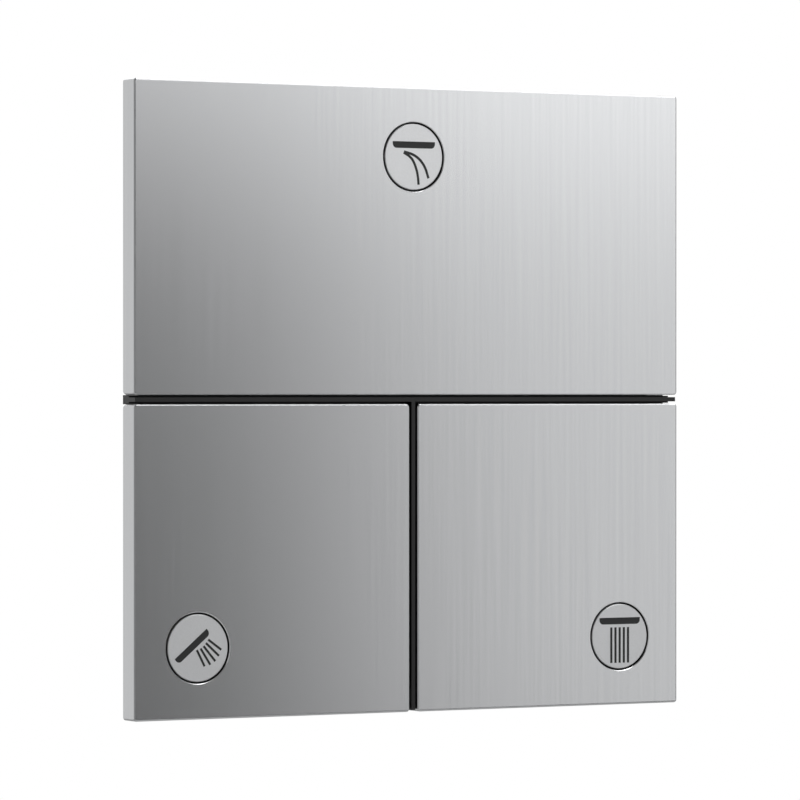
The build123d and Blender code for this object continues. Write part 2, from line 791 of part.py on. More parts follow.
# Pieces of the three valves
for valve in VALVES:
    with BuildPart() as push_cap:
        crowned = valve.outline(
            (0, cap_front),
            (CAP_CROWN_RADIUS, cap_front),
            (CAP_RADIUS, cap_front + CAP_CROWN),
            (CAP_RADIUS, cap_front + CAP_LENGTH),
            (ROD_RADIUS, cap_front + CAP_LENGTH),
            (ROD_RADIUS, rod_front),
            (0, rod_front),
        )
        revolve(crowned, axis=valve.axis)
    save(push_cap.part, f"{valve.name}_push_cap")

    with BuildPart() as push_rod:
        rod = valve.outline(
            (0, rod_front),
            (ROD_RADIUS, rod_front),
            (ROD_RADIUS, CROWN_FRONT),
            (CROWN_RADIUS, CROWN_FRONT),
            (CROWN_RADIUS, crown_rear),
            (spindle_bore, crown_rear),
            (spindle_bore, crown_rear - CROWN_BORE_DEPTH),
            (0, crown_rear - CROWN_BORE_DEPTH),
        )
        revolve(rod, axis=valve.axis)
        for tooth in range(TEETH):
            add(
                valve.wedge(
                    (tooth + 0.5) * tooth_pitch,
                    tooth_pitch / 2,
                    tooth_inner,
                    CROWN_RADIUS,
                    crown_rear - TOOTH_ROOT,
                    crown_rear,
                    crown_rear + TOOTH_HEIGHT,
                )
            )
        for lug in range(LUGS):
            add(
                valve.wedge(
                    lug * lug_pitch,
                    CROWN_LUG_HALF_ANGLE,
                    CROWN_RADIUS - TOOTH_ROOT,
                    LUG_RADIUS,
                    CROWN_FRONT,
                    crown_rear,
                    crown_rear,
                )
            )
    save(push_rod.part, f"{valve.name}_push_rod")

    with BuildPart() as rotor:
        ring = valve.outline(
            (spindle_bore, rotor_base),
            (CROWN_RADIUS, rotor_base),
            (CROWN_RADIUS, rotor_rear),
            (spindle_bore, rotor_rear),
        )
        revolve(ring, axis=valve.axis)
        for tooth in range(TEETH):
            add(
                valve.wedge(
                    (tooth + 1) * tooth_pitch,
                    tooth_pitch / 2,
                    tooth_inner,
                    CROWN_RADIUS,
                    rotor_base + TOOTH_ROOT,
                    rotor_tip,
                    rotor_base,
                )
            )
        for lug in range(LUGS):
            add(
                valve.wedge(
                    lug * lug_pitch + rotor_rest_turn,
                    ROTOR_LUG_HALF_ANGLE,
                    CROWN_RADIUS - TOOTH_ROOT,
                    LUG_RADIUS,
                    rotor_rear,
                    rotor_base + LUG_SETBACK,
                    rotor_base + LUG_SETBACK + LUG_SLOPE,
                )
            )
    save(rotor.part, f"{valve.name}_ratchet_rotor")

    with BuildPart() as spindle:
        stem = valve.outline(
            (0, spindle_front),
            (SPINDLE_RADIUS, spindle_front),
            (SPINDLE_RADIUS, collar_front),
            (COLLAR_RADIUS, collar_front),
            (COLLAR_RADIUS, collar_rear),
            (SPINDLE_RADIUS, collar_rear),
            (SPINDLE_RADIUS, valve_disc_rear + VALVE_NUT_THICKNESS),
            (0, valve_disc_rear + VALVE_NUT_THICKNESS),
        )
        revolve(stem, axis=valve.axis)
    save(spindle.part, f"{valve.name}_spindle")

    with BuildPart() as spring:
        with BuildLine():
            coil = Helix(
                pitch=(spring_rear - spring_front) / SPRING_TURNS,
                height=spring_rear - spring_front,
                radius=SPRING_RADIUS,
                center=(valve.x, spring_front, valve.z),
                direction=(0, 1, 0),
            )
        outwards = (coil @ 0) - Vector(valve.x, spring_front, valve.z)
        with BuildSketch(Plane(origin=coil @ 0, x_dir=outwards, z_dir=coil % 0)):
            Rectangle(SPRING_WIRE, SPRING_WIRE)
        sweep(is_frenet=True)
    save(spring.part, f"{valve.name}_return_spring")

    with BuildPart() as valve_disc:
        rubber = valve.outline(
            (SPINDLE_RADIUS, valve_disc_front),
            (VALVE_DISC_RADIUS, valve_disc_front),
            (VALVE_DISC_RADIUS, valve_disc_rear),
            (SPINDLE_RADIUS, valve_disc_rear),
        )
        revolve(rubber, axis=valve.axis)
    save(valve_disc.part, f"{valve.name}_valve_disc")

    with BuildPart() as valve_nut:
        with BuildSketch(valve.plane(valve_disc_rear)):
            RegularPolygon(VALVE_NUT_ACROSS_FLATS / 2, 6, major_radius=False)
            Circle(SPINDLE_RADIUS, mode=Mode.SUBTRACT)
        extrude(amount=VALVE_NUT_THICKNESS)
    save(valve_nut.part, f"{valve.name}_valve_nut")

    with BuildPart() as cage:
        sleeve = valve.outline(
            (ROD_RADIUS + ROD_CLEARANCE, CAGE_FRONT),
            (CAGE_NECK_RADIUS, CAGE_FRONT),
            (CAGE_NECK_RADIUS, SHOULDER_DEPTH),
            (CAGE_RADIUS, SHOULDER_DEPTH),
            (CAGE_RADIUS, SEAT_FLOOR),
            (SEAT_RADIUS, SEAT_FLOOR),
            (SEAT_RADIUS, seat_front),
            (OUTLET_CHAMBER_RADIUS, seat_front),
            (OUTLET_CHAMBER_RADIUS, web_rear),
            (spindle_bore, web_rear),
            (spindle_bore, WEB_FRONT),
            (CHAMBER_RADIUS, WEB_FRONT),
            (CHAMBER_RADIUS, CAGE_FRONT + CAGE_FRONT_WALL),
            (ROD_RADIUS + ROD_CLEARANCE, CAGE_FRONT + CAGE_FRONT_WALL),
        )
        revolve(sleeve, axis=valve.axis)
        for groove_middle in seal_depths:
            groove = valve.outline(
                (CAGE_RADIUS - GROOVE_DEPTH, groove_middle - GROOVE_WIDTH / 2),
                (CAGE_RADIUS + GROOVE_DEPTH, groove_middle - GROOVE_WIDTH / 2),
                (CAGE_RADIUS + GROOVE_DEPTH, groove_middle + GROOVE_WIDTH / 2),
                (CAGE_RADIUS - GROOVE_DEPTH, groove_middle + GROOVE_WIDTH / 2),
            )
            revolve(groove, axis=valve.axis, mode=Mode.SUBTRACT)
        for lug in range(LUGS):
            with BuildSketch(valve.side_plane((lug + 0.5) * lug_pitch, SEAT_RADIUS)):
                with Locations((0, (web_rear + seat_front) / 2)):
                    Rectangle(WINDOW_WIDTH, WINDOW_LENGTH)
            extrude(amount=CAGE_RADIUS, mode=Mode.SUBTRACT)
            add(
                valve.wedge(
                    (lug + 0.5) * lug_pitch,
                    lug_pitch / 2 - SLOT_HALF_ANGLE,
                    GUIDE_RIB_RADIUS / cos(radians(lug_pitch / 2 - SLOT_HALF_ANGLE)),
                    (CHAMBER_RADIUS + CAGE_NECK_RADIUS) / 2,
                    CAGE_FRONT + CAGE_FRONT_WALL - TOOTH_ROOT,
                    GUIDE_RIB_END - GUIDE_RIB_SLOPE,
                    GUIDE_RIB_END,
                )
            )
    save(cage.part, f"{valve.name}_cartridge_cage")

    with BuildPart() as cage_seals:
        for seal_depth in seal_depths:
            with BuildSketch(valve.half_plane):
                with Locations((seal_ring_radius, seal_depth)):
                    Rectangle(CAGE_SEAL_SECTION, CAGE_SEAL_SECTION)
            revolve(axis=valve.axis)
    save(cage_seals.part, f"{valve.name}_cartridge_seals")

    with BuildPart() as nut:
        with BuildSketch(valve.plane(TOWER_FRONT - NUT_HEAD_LENGTH)):
            RegularPolygon(NUT_ACROSS_FLATS / 2, 6, major_radius=False)
        extrude(amount=NUT_HEAD_LENGTH)
        with BuildSketch(valve.plane(TOWER_FRONT)):
            Circle(COUNTERBORE_RADIUS - NUT_THREAD_CLEARANCE)
        extrude(amount=SHOULDER_DEPTH - TOWER_FRONT)
        with BuildSketch(valve.plane(TOWER_FRONT - NUT_HEAD_LENGTH)):
            Circle(CAGE_NECK_RADIUS + NUT_BORE_CLEARANCE)
        extrude(amount=NUT_HEAD_LENGTH + SHOULDER_DEPTH - TOWER_FRONT, mode=Mode.SUBTRACT)
    save(nut.part, f"{valve.name}_cartridge_nut")

# Manifold body
with BuildPart() as manifold:
    with BuildSketch(facing(SLAB_REAR)):
        add(body_outline.sketch)
    extrude(amount=SLAB_REAR - SLAB_FRONT)
    with BuildSketch(facing(SLAB_FRONT)):
        with Locations(valve_places):
            Circle(TOWER_RADIUS)
    extrude(amount=SLAB_FRONT - TOWER_FRONT)
    with BuildSketch(facing(SLAB_REAR)):
        with Locations([(0, height) for height in bar_heights]):
            SlotCenterToCenter(2 * MOUNT_HOLE_REACH, 2 * MOUNT_BAR_RADIUS)
    extrude(amount=MOUNT_BAR_THICKNESS)
    for port in ports:
        with BuildSketch(port.face):
            Rectangle(PORT_BOSS_WIDTH, PORT_BOSS_WIDTH)
        extrude(amount=-SLAB_MARGIN)

    # Valve cavities from the front, inlet gallery from the rear
    for valve in VALVES:
        cavity = valve.outline(
            (0, TOWER_FRONT),
            (COUNTERBORE_RADIUS, TOWER_FRONT),
            (COUNTERBORE_RADIUS, SHOULDER_DEPTH),
            (CAGE_RADIUS + CAVITY_CLEARANCE, SHOULDER_DEPTH),
            (CAGE_RADIUS + CAVITY_CLEARANCE, OUTLET_GROOVE_FRONT),
            (OUTLET_GROOVE_RADIUS, OUTLET_GROOVE_FRONT),
            (OUTLET_GROOVE_RADIUS, OUTLET_GROOVE_REAR),
            (CAGE_RADIUS + CAVITY_CLEARANCE, OUTLET_GROOVE_REAR),
            (CAGE_RADIUS + CAVITY_CLEARANCE, SEAT_FLOOR),
            (REAR_BORE_RADIUS, SEAT_FLOOR),
            (REAR_BORE_RADIUS, GALLERY_FRONT),
            (0, GALLERY_FRONT),
        )
        revolve(cavity, axis=valve.axis, mode=Mode.SUBTRACT)
    with BuildSketch(facing(SLAB_REAR)):
        add(gallery_outline.sketch)
    extrude(amount=SLAB_REAR - GALLERY_FRONT, mode=Mode.SUBTRACT)

    # Passages to the ports
    for port in ports:
        with BuildSketch(port.face):
            Circle(PASSAGE_RADIUS)
        extrude(amount=-port.passage, mode=Mode.SUBTRACT)
        with BuildSketch(port.face):
            Circle(NIPPLE_INSERT_RADIUS)
        extrude(amount=-NIPPLE_INSERT_LENGTH, mode=Mode.SUBTRACT)
    with BuildSketch(facing(GALLERY_FRONT)):
        with Locations((0, -FEED_HOLE_DROP)):
            Circle(FEED_HOLE_RADIUS)
    extrude(amount=GALLERY_FRONT - NIPPLE_AXIS_DEPTH + FEED_HOLE_OVERRUN, mode=Mode.SUBTRACT)

    # Mounting, post and cover screw holes
    with BuildSketch(facing(SLAB_REAR)):
        with Locations(mount_places):
            Circle(MOUNT_HOLE_RADIUS)
        with Locations(post_places):
            Circle(POST_SPIGOT_RADIUS)
    extrude(amount=MOUNT_BAR_THICKNESS, mode=Mode.SUBTRACT)
    with BuildSketch(facing(SLAB_REAR)):
        with Locations(cover_screw_places):
            Circle(COVER_SCREW_RADIUS)
    extrude(amount=COVER_SCREW_GRIP, mode=Mode.SUBTRACT)
save(manifold.part, "manifold_body")

# Gasket and cover that close the inlet gallery
with BuildPart() as gasket:
    with BuildSketch(facing(SLAB_REAR + GASKET_THICKNESS)):
        add(body_outline.sketch)
        add(gallery_outline.sketch, mode=Mode.SUBTRACT)
        with Locations(cover_screw_places):
            Circle(COVER_SCREW_RADIUS, mode=Mode.SUBTRACT)
    extrude(amount=GASKET_THICKNESS)
save(gasket.part, "gallery_gasket")

with BuildPart() as cover:
    with BuildSketch(facing(cover_rear)):
        add(body_outline.sketch)
        with Locations(cover_screw_places):
            Circle(COVER_SCREW_RADIUS, mode=Mode.SUBTRACT)
    extrude(amount=COVER_THICKNESS)
save(cover.part, "gallery_cover")

with BuildPart() as cover_screws:
    with BuildSketch(facing(cover_rear + COVER_SCREW_HEAD_HEIGHT)):
        with Locations(cover_screw_places):
            Circle(COVER_SCREW_HEAD_RADIUS)
    extrude(amount=COVER_SCREW_HEAD_HEIGHT)
    with BuildSketch(facing(cover_rear)):
        with Locations(cover_screw_places):
            Circle(COVER_SCREW_RADIUS)
    extrude(amount=cover_rear - SLAB_REAR + COVER_SCREW_GRIP)
save(cover_screws.part, "cover_screws")

# Nipples and their washers
for port in ports:
    with BuildPart() as nipple:
        with BuildSketch(port.face.offset(WASHER_THICKNESS)):
            RegularPolygon(NIPPLE_ACROSS_FLATS / 2, 6, major_radius=False, rotation=NIPPLE_HEX_TURN)
        extrude(amount=NIPPLE_COLLAR)
        with BuildSketch(port.face.offset(WASHER_THICKNESS + NIPPLE_COLLAR)):
            Circle(NIPPLE_RADIUS)
        extrude(amount=NIPPLE_LENGTH)
        with BuildSketch(port.face.offset(-NIPPLE_INSERT_LENGTH)):
            Circle(NIPPLE_INSERT_RADIUS)
        extrude(amount=NIPPLE_INSERT_LENGTH + WASHER_THICKNESS)
        with BuildSketch(port.face.offset(-NIPPLE_INSERT_LENGTH)):
            Circle(NIPPLE_BORE)
        extrude(amount=NIPPLE_INSERT_LENGTH + nipple_reach, mode=Mode.SUBTRACT)
    save(nipple.part, f"{port.name}_nipple")

with BuildPart() as nipple_washers:
    for port in ports:
        with BuildSketch(port.face):
            Circle(WASHER_RADIUS)
            Circle(NIPPLE_INSERT_RADIUS, mode=Mode.SUBTRACT)
        extrude(amount=WASHER_THICKNESS)
save(nipple_washers.part, "nipple_washers")
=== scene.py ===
"""Looks of a concealed three-way shower diverter with rocking paddles.

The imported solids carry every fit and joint, and this file dresses them. Sizes are in
millimetres unless a name says otherwise. X runs right, Y into the wall and Z up, and the
finished wall is the plane y = 0.
"""

import logging
import math
from collections.abc import Mapping, Sequence
from dataclasses import dataclass
from enum import Enum

import bmesh
import bpy
from mathutils import Matrix, Vector


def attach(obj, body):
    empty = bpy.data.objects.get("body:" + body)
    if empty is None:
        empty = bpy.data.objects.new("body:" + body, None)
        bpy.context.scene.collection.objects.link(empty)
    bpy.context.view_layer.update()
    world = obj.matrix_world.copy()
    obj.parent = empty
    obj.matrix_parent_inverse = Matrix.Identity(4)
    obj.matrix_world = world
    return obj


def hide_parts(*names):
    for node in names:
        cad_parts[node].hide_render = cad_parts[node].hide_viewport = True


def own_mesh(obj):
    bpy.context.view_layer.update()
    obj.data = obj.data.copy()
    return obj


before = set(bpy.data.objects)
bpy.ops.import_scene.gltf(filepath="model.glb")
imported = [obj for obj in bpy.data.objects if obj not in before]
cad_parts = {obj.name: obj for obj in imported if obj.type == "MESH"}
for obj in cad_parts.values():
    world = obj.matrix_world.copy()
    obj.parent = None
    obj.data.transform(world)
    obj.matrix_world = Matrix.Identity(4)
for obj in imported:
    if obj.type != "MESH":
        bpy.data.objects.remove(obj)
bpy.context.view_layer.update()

MM = 0.001
LOG = logging.getLogger("shower_diverter")

Flat = tuple[float, float]
Spatial = tuple[float, float, float]


def linear(colour: str) -> tuple[float, float, float, float]:
    """Turn an sRGB hex value into a linear colour.

    Args:
        colour: hash and six hex digits.

    Returns:
        Linear red, green and blue, and full alpha.
    """
    channels = [int(colour[start : start + 2], 16) / 255 for start in (1, 3, 5)]
    straight = [c / 12.92 if c <= 0.04045 else ((c + 0.055) / 1.055) ** 2.4 for c in channels]
    return (*straight, 1.0)


def add_node(
    tree: bpy.types.NodeTree,
    kind: str,
    settings: Mapping[str, object] | None = None,
    inputs: Mapping[str | int, object] | None = None,
) -> bpy.types.Node:
    """Add one node with its settings, values and links.

    Args:
        tree: shader, world or geometry tree.
        kind: Blender's identifier of the node.
        settings: the node's own properties.
        inputs: socket name or number to an output socket, which is linked, or to a value.

    Returns:
        The new node.
    """
    node = tree.nodes.new(kind)
    for key, value in (settings or {}).items():
        setattr(node, key, value)
    for key, value in (inputs or {}).items():
        if isinstance(value, bpy.types.NodeSocket):
            tree.links.new(value, node.inputs[key])
        else:
            node.inputs[key].default_value = value
    return node


@dataclass(frozen=True)
class Finish:
    """A surface whose colour, gloss and relief follow one grain.

    Attributes:
        name: common name of the material and how its surface was made.
        colour: main tone, as sRGB hex.
        shade: tone that the grain runs to, as sRGB hex.
        metallic: 1 for bare metal, 0 for the rest.
        roughness: lowest and highest roughness over the grain.
        grain: size of the grain along x, y and z, in millimetres.
        relief: height of the grain, in millimetres.
    """

    name: str
    colour: str
    shade: str
    metallic: float
    roughness: Flat
    grain: Spatial
    relief: float

    def pattern(self, tree: bpy.types.NodeTree, place: bpy.types.NodeSocket) -> bpy.types.NodeSocket:
        """Draw the grain as stretched noise.

        Args:
            tree: the material's tree.
            place: coordinates, one unit to a grain.

        Returns:
            Socket that gives the grain, 0 to 1.
        """
        noise = add_node(tree, "ShaderNodeTexNoise", None, {"Vector": place, "Scale": 1.0, "Detail": 3.0})
        return noise.outputs["Fac"]

    def material(self) -> bpy.types.Material:
        """Build the material.

        Returns:
            The material, or the one of that name where it is already there.
        """
        known = bpy.data.materials.get(self.name)
        if known:
            return known
        made = bpy.data.materials.new(self.name)
        made.use_nodes = True
        tree = made.node_tree
        tree.nodes.clear()
        coordinates = add_node(tree, "ShaderNodeTexCoord")
        scale = tuple(1 / (size * MM) for size in self.grain)
        mapping = add_node(
            tree, "ShaderNodeMapping", None, {"Vector": coordinates.outputs["Object"], "Scale": scale}
        )
        grain = self.pattern(tree, mapping.outputs["Vector"])
        tone = add_node(
            tree,
            "ShaderNodeMix",
            {"data_type": "RGBA"},
            {0: grain, 6: linear(self.colour), 7: linear(self.shade)},
        )
        gloss = add_node(
            tree,
            "ShaderNodeMapRange",
            None,
            {"Value": grain, "To Min": self.roughness[0], "To Max": self.roughness[1]},
        )
        relief = add_node(
            tree, "ShaderNodeBump", None, {"Height": grain, "Strength": 1.0, "Distance": self.relief * MM}
        )
        surface = add_node(
            tree,
            "ShaderNodeBsdfPrincipled",
            None,
            {
                "Base Color": tone.outputs[2],
                "Metallic": self.metallic,
                "Roughness": gloss.outputs["Result"],
                "Normal": relief.outputs["Normal"],
            },
        )
        add_node(tree, "ShaderNodeOutputMaterial", None, {"Surface": surface.outputs["BSDF"]})
        return made


CLOUD_SCALE = 0.35
CELL_WEIGHT = 0.45
CELL_LEVEL = 0.12


@dataclass(frozen=True)
class CellFinish(Finish):
    """A surface broken into small cells, as foam, blasted metal and spark-textured tools give."""

    def pattern(self, tree: bpy.types.NodeTree, place: bpy.types.NodeSocket) -> bpy.types.NodeSocket:
        """Draw the cells, roughened by noise.

        Args:
            tree: the material's tree.
            place: coordinates, one unit to a cell.

        Returns:
            Socket that gives the cells, 0 to 1.
        """
        cells = add_node(tree, "ShaderNodeTexVoronoi", None, {"Vector": place, "Scale": 1.0})
        noise = add_node(
            tree, "ShaderNodeTexNoise", None, {"Vector": place, "Scale": CLOUD_SCALE, "Detail": 4.0}
        )
        both = add_node(
            tree,
            "ShaderNodeMath",
            {"operation": "MULTIPLY_ADD", "use_clamp": True},
            {0: cells.outputs["Distance"], 1: CELL_WEIGHT, 2: noise.outputs["Fac"]},
        )
        level = add_node(
            tree,
            "ShaderNodeMath",
            {"operation": "SUBTRACT", "use_clamp": True},
            {0: both.outputs[0], 1: CELL_LEVEL},
        )
        return level.outputs[0]


# Chromed brass, satin: upright brushing in streaks of 1 to 2 mm, coarser than the real
# brushing so that it shows as the faint upright bands of a satin plate.
SATIN_CHROME = Finish(
    "satin_chromed_metal_brushed", colour="#C9CACB", shade="#C2C3C5", metallic=1.0,
    roughness=(0.2, 0.25), grain=(1.1, 1.1, 70.0), relief=0.0017,
)
# Chromed disc, bead blasted: an even matt grain that spreads the light wider than the plate.
BLASTED_CHROME = CellFinish(
    "chromed_metal_bead_blasted", colour="#E6E7E9", shade="#DDDEDF", metallic=1.0,
    roughness=(0.42, 0.48), grain=(0.14, 0.14, 0.14), relief=0.004,
)
# Diamond-cut rim of the disc: bright, so that it draws a fine light line inside the ring.
BRIGHT_CHROME = Finish(
    "chromed_metal_diamond_cut", colour="#E2E3E4", shade="#DADBDC", metallic=1.0,
    roughness=(0.2, 0.26), grain=(0.5, 0.5, 0.5), relief=0.0,
)
# Stoving enamel filled into the engraved lines: dark grey, even, half matt.
LINE_ENAMEL = Finish(
    "grey_black_stoving_enamel", colour="#1E1F20", shade="#191A1B", metallic=0.0,
    roughness=(0.5, 0.6), grain=(0.3, 0.3, 0.3), relief=0.001,
)
# Painted shade: near black paint on the recess round the disc and on the paddles' sides along the seams
# stands in for the shade in that groove and in the seams, so the ring reads as a black line.
PAINTED_SHADE = Finish(
    "black_oxide_dipped", colour="#0B0B0C", shade="#080809", metallic=0.0,
    roughness=(0.6, 0.7), grain=(0.4, 0.4, 0.4), relief=0.002,
)
# Extruded aluminium, anodised black: fine die lines along the bar and a soft sheen.
BLACK_ANODISED = Finish(
    "black_anodised_aluminium", colour="#0E0F10", shade="#0B0C0D", metallic=0.0,
    roughness=(0.42, 0.5), grain=(9.0, 0.2, 0.2), relief=0.002,
)
# ABS moulded against a spark-eroded tool: small pits, a dry black.
FRAME_ABS = CellFinish(
    "abs_moulded_black", colour="#242526", shade="#1B1C1D", metallic=0.0,
    roughness=(0.46, 0.58), grain=(0.35, 0.35, 0.35), relief=0.012,
)
# Nylon with glass fibre, moulded: greyer, with a mottled skin where fibres come near it.
CARRIER_NYLON = CellFinish(
    "glass_filled_nylon_moulded", colour="#2B2C2E", shade="#1F2021", metallic=0.0,
    roughness=(0.5, 0.66), grain=(0.6, 0.6, 0.6), relief=0.018,
)
# Acetal, moulded: waxy and smooth, hardly any grain.
WHITE_ACETAL = Finish(
    "acetal_moulded_white", colour="#E7E6E1", shade="#DEDDD6", metallic=0.0,
    roughness=(0.3, 0.38), grain=(1.5, 1.5, 1.5), relief=0.002,
)
BLUE_ACETAL = Finish(
    "acetal_moulded_blue", colour="#6191BC", shade="#5786B0", metallic=0.0,
    roughness=(0.3, 0.38), grain=(1.5, 1.5, 1.5), relief=0.002,
)
# Polyphenylene with glass, moulded: ivory with faint flow marks along the mould.
IVORY_POLYPHENYLENE = CellFinish(
    "polyphenylene_moulded_ivory", colour="#E4E0D3", shade="#D3CDBB", metallic=0.0,
    roughness=(0.42, 0.55), grain=(0.8, 0.8, 0.8), relief=0.01,
)
# Stainless steel, turned: tool rings 0.15 mm apart that run round the piece.
TURNED_STEEL = Finish(
    "stainless_steel_turned", colour="#CCCBC9", shade="#BDBCBA", metallic=1.0,
    roughness=(0.2, 0.32), grain=(25.0, 0.15, 25.0), relief=0.002,
)
# Spring wire, drawn: smooth and bright with faint lines along the wire.
SPRING_WIRE = Finish(
    "stainless_spring_wire_drawn", colour="#C4C4C5", shade="#B2B2B4", metallic=1.0,
    roughness=(0.22, 0.3), grain=(0.3, 0.3, 0.3), relief=0.001,
)
# Stainless screws, cold headed and passivated: a soft grey sheen.
SCREW_STEEL = CellFinish(
    "stainless_steel_cold_headed", colour="#C7C8C8", shade="#B4B5B5", metallic=1.0,
    roughness=(0.28, 0.4), grain=(0.4, 0.4, 0.4), relief=0.004,
)
# EPDM, moulded: dull black with a dusty bloom.
EPDM = CellFinish(
    "epdm_rubber_moulded", colour="#222223", shade="#191919", metallic=0.0,
    roughness=(0.68, 0.82), grain=(0.5, 0.5, 0.5), relief=0.01,
)
# EPDM foam, skived: closed cells of half a millimetre cut open at the surface.
EPDM_FOAM = CellFinish(
    "epdm_foam_skived", colour="#2C2D2E", shade="#161617", metallic=0.0,
    roughness=(0.8, 0.92), grain=(0.9, 0.9, 0.9), relief=0.09,
)
# Pressed fibre: grey green sheet with short matted fibres.
PRESSED_FIBRE = CellFinish(
    "pressed_fibre_sheet", colour="#77837A", shade="#5B665E", metallic=0.0,
    roughness=(0.7, 0.86), grain=(0.7, 0.25, 0.7), relief=0.03,
)
# Brass, turned: bright yellow with tool rings that run round the piece.
TURNED_BRASS = Finish(
    "brass_turned_bright", colour="#E0C283", shade="#CFAF6C", metallic=1.0,
    roughness=(0.18, 0.3), grain=(18.0, 0.18, 18.0), relief=0.002,
)
# Brass, milled: bright yellow with the cutter's straight passes 0.4 mm apart.
MILLED_BRASS = Finish(
    "brass_milled_face", colour="#DDBF80", shade="#CBAB69", metallic=1.0,
    roughness=(0.2, 0.33), grain=(0.4, 6.0, 22.0), relief=0.003,
)
# Brass, sand cast and shot blasted: dull and pitted, with darker oxide in the pits.
CAST_BRASS = CellFinish(
    "brass_sand_cast_blasted", colour="#C2A468", shade="#8E7444", metallic=1.0,
    roughness=(0.4, 0.58), grain=(1.3, 1.3, 1.3), relief=0.11,
)


@dataclass(frozen=True)
class Row:
    """One ring of a turned piece.

    With flats set, the ring follows a hexagon of that size across flats and shifts along
    the axis as it stands out beyond the radius, which is how a chamfered corner looks.

    Attributes:
        radius: radius of the ring, or of the chamfer's inner circle.
        along: distance along the axis.
        flats: size across flats, or 0 for a round ring.
        shift: shift along the axis for each millimetre beyond the radius.
    """

    radius: float
    along: float
    flats: float = 0.0
    shift: float = 0.0

    def at(self, angle: float) -> Flat:
        """Find one point of the ring.

        Args:
            angle: angle about the axis, in radians.

        Returns:
            The point's radius and its distance along the axis.
        """
        if not self.flats:
            return self.radius, self.along
        sixth = math.pi / 3
        turn = (angle + sixth / 2) % sixth - sixth / 2
        reach = self.flats / 2 / math.cos(turn)
        return reach, self.along + self.shift * (reach - self.radius)


@dataclass(frozen=True)
class Spot:
    """Where a piece that was made along Z stands.

    Attributes:
        origin: point where the piece's own origin comes to lie.
        axis: the way its Z points.
        turn: turn about that axis, in degrees.
    """

    origin: Spatial
    axis: Spatial
    turn: float = 0.0

    @property
    def matrix(self) -> Matrix:
        """Matrix that sets the piece in its place.

        Returns:
            Turn, shift and scale from the piece's millimetres to metres in the frame.
        """
        tilt = Vector(self.axis).to_track_quat("Z", "Y").to_matrix().to_4x4()
        spin = Matrix.Rotation(math.radians(self.turn), 4, "Z")
        return Matrix.Translation(Vector(self.origin) * MM) @ tilt @ spin @ Matrix.Scale(MM, 4)


CHAMFER_SLOPE = math.tan(math.radians(30.0))
TURN_SEGMENTS = 96
SCREW_SEGMENTS = 48
POST_SEGMENTS = 72
CREASE = math.radians(25.0)
SOFTENED_EDGE = math.radians(32.0)
FLAT_ENOUGH = math.radians(0.6)
MERGE_DISTANCE = 0.001 * MM


def mesh_of(work: bmesh.types.BMesh, name: str, crease: float = CREASE) -> bpy.types.Mesh:
    """Close a mesh under construction: face it outwards, smooth it and keep its sharp edges.

    Args:
        work: the mesh under construction, which is freed.
        name: name of the new mesh.
        crease: angle in radians above which an edge stays sharp.

    Returns:
        The finished mesh.
    """
    bmesh.ops.recalc_face_normals(work, faces=work.faces)
    for face in work.faces:
        face.smooth = True
    made = bpy.data.meshes.new(name)
    work.to_mesh(made)
    work.free()
    made.set_sharp_from_angle(angle=crease)
    return made


def add_ring(
    work: bmesh.types.BMesh, flat_points: Sequence[Flat], depths: Sequence[float]
) -> list[bmesh.types.BMVert]:
    """Add a ring of points to a mesh under construction.

    Args:
        work: the mesh under construction, in metres.
        flat_points: x and z of each point, in millimetres.
        depths: y of each point, in millimetres.

    Returns:
        The new points.
    """
    return [work.verts.new(Vector((x, depth, z)) * MM) for (x, z), depth in zip(flat_points, depths)]


def join_rings(
    work: bmesh.types.BMesh, first: list[bmesh.types.BMVert], second: list[bmesh.types.BMVert]
) -> None:
    """Close the strip between two rings.

    Args:
        work: the mesh under construction.
        first: points of one ring.
        second: as many points of the other.
    """
    for index in range(len(first)):
        after = (index + 1) % len(first)
        work.faces.new((first[index], first[after], second[after], second[index]))


def turned(rows: Sequence[Row], name: str, segments: int = TURN_SEGMENTS) -> bpy.types.Mesh:
    """Turn a closed section about Z.

    Args:
        rows: the section's rings in order; rings of no radius become one point.
        name: name of the new mesh.
        segments: steps round the axis.

    Returns:
        Closed mesh in millimetres, along Z.
    """
    work = bmesh.new()
    rings: list[list[bmesh.types.BMVert]] = []
    for row in rows:
        if row.radius == 0.0:
            rings.append([work.verts.new((0.0, 0.0, row.along))])
            continue
        ring = []
        for step in range(segments):
            angle = 2 * math.pi * step / segments
            reach, along = row.at(angle)
            ring.append(work.verts.new((reach * math.cos(angle), reach * math.sin(angle), along)))
        rings.append(ring)
    pairs = list(zip(rings, rings[1:]))
    if len(rings[0]) > 1:
        pairs.append((rings[-1], rings[0]))
    for first, second in pairs:
        for step in range(segments):
            after = (step + 1) % segments
            corners = [
                first[step % len(first)],
                first[after % len(first)],
                second[after % len(second)],
                second[step % len(second)],
            ]
            kept = [corner for index, corner in enumerate(corners) if corner not in corners[:index]]
            if len(kept) > 2:
                work.faces.new(kept)
    return mesh_of(work, name)


def evaluated(piece: bpy.types.Object) -> bpy.types.Object:
    """Turn a piece's modifiers into its plain mesh and remove them.

    Args:
        piece: the piece with its modifiers.

    Returns:
        The same piece.
    """
    depsgraph = bpy.context.evaluated_depsgraph_get()
    made = bpy.data.meshes.new_from_object(
        piece.evaluated_get(depsgraph), preserve_all_data_layers=True, depsgraph=depsgraph
    )
    piece.modifiers.clear()
    made.name = piece.name
    piece.data = made
    return piece


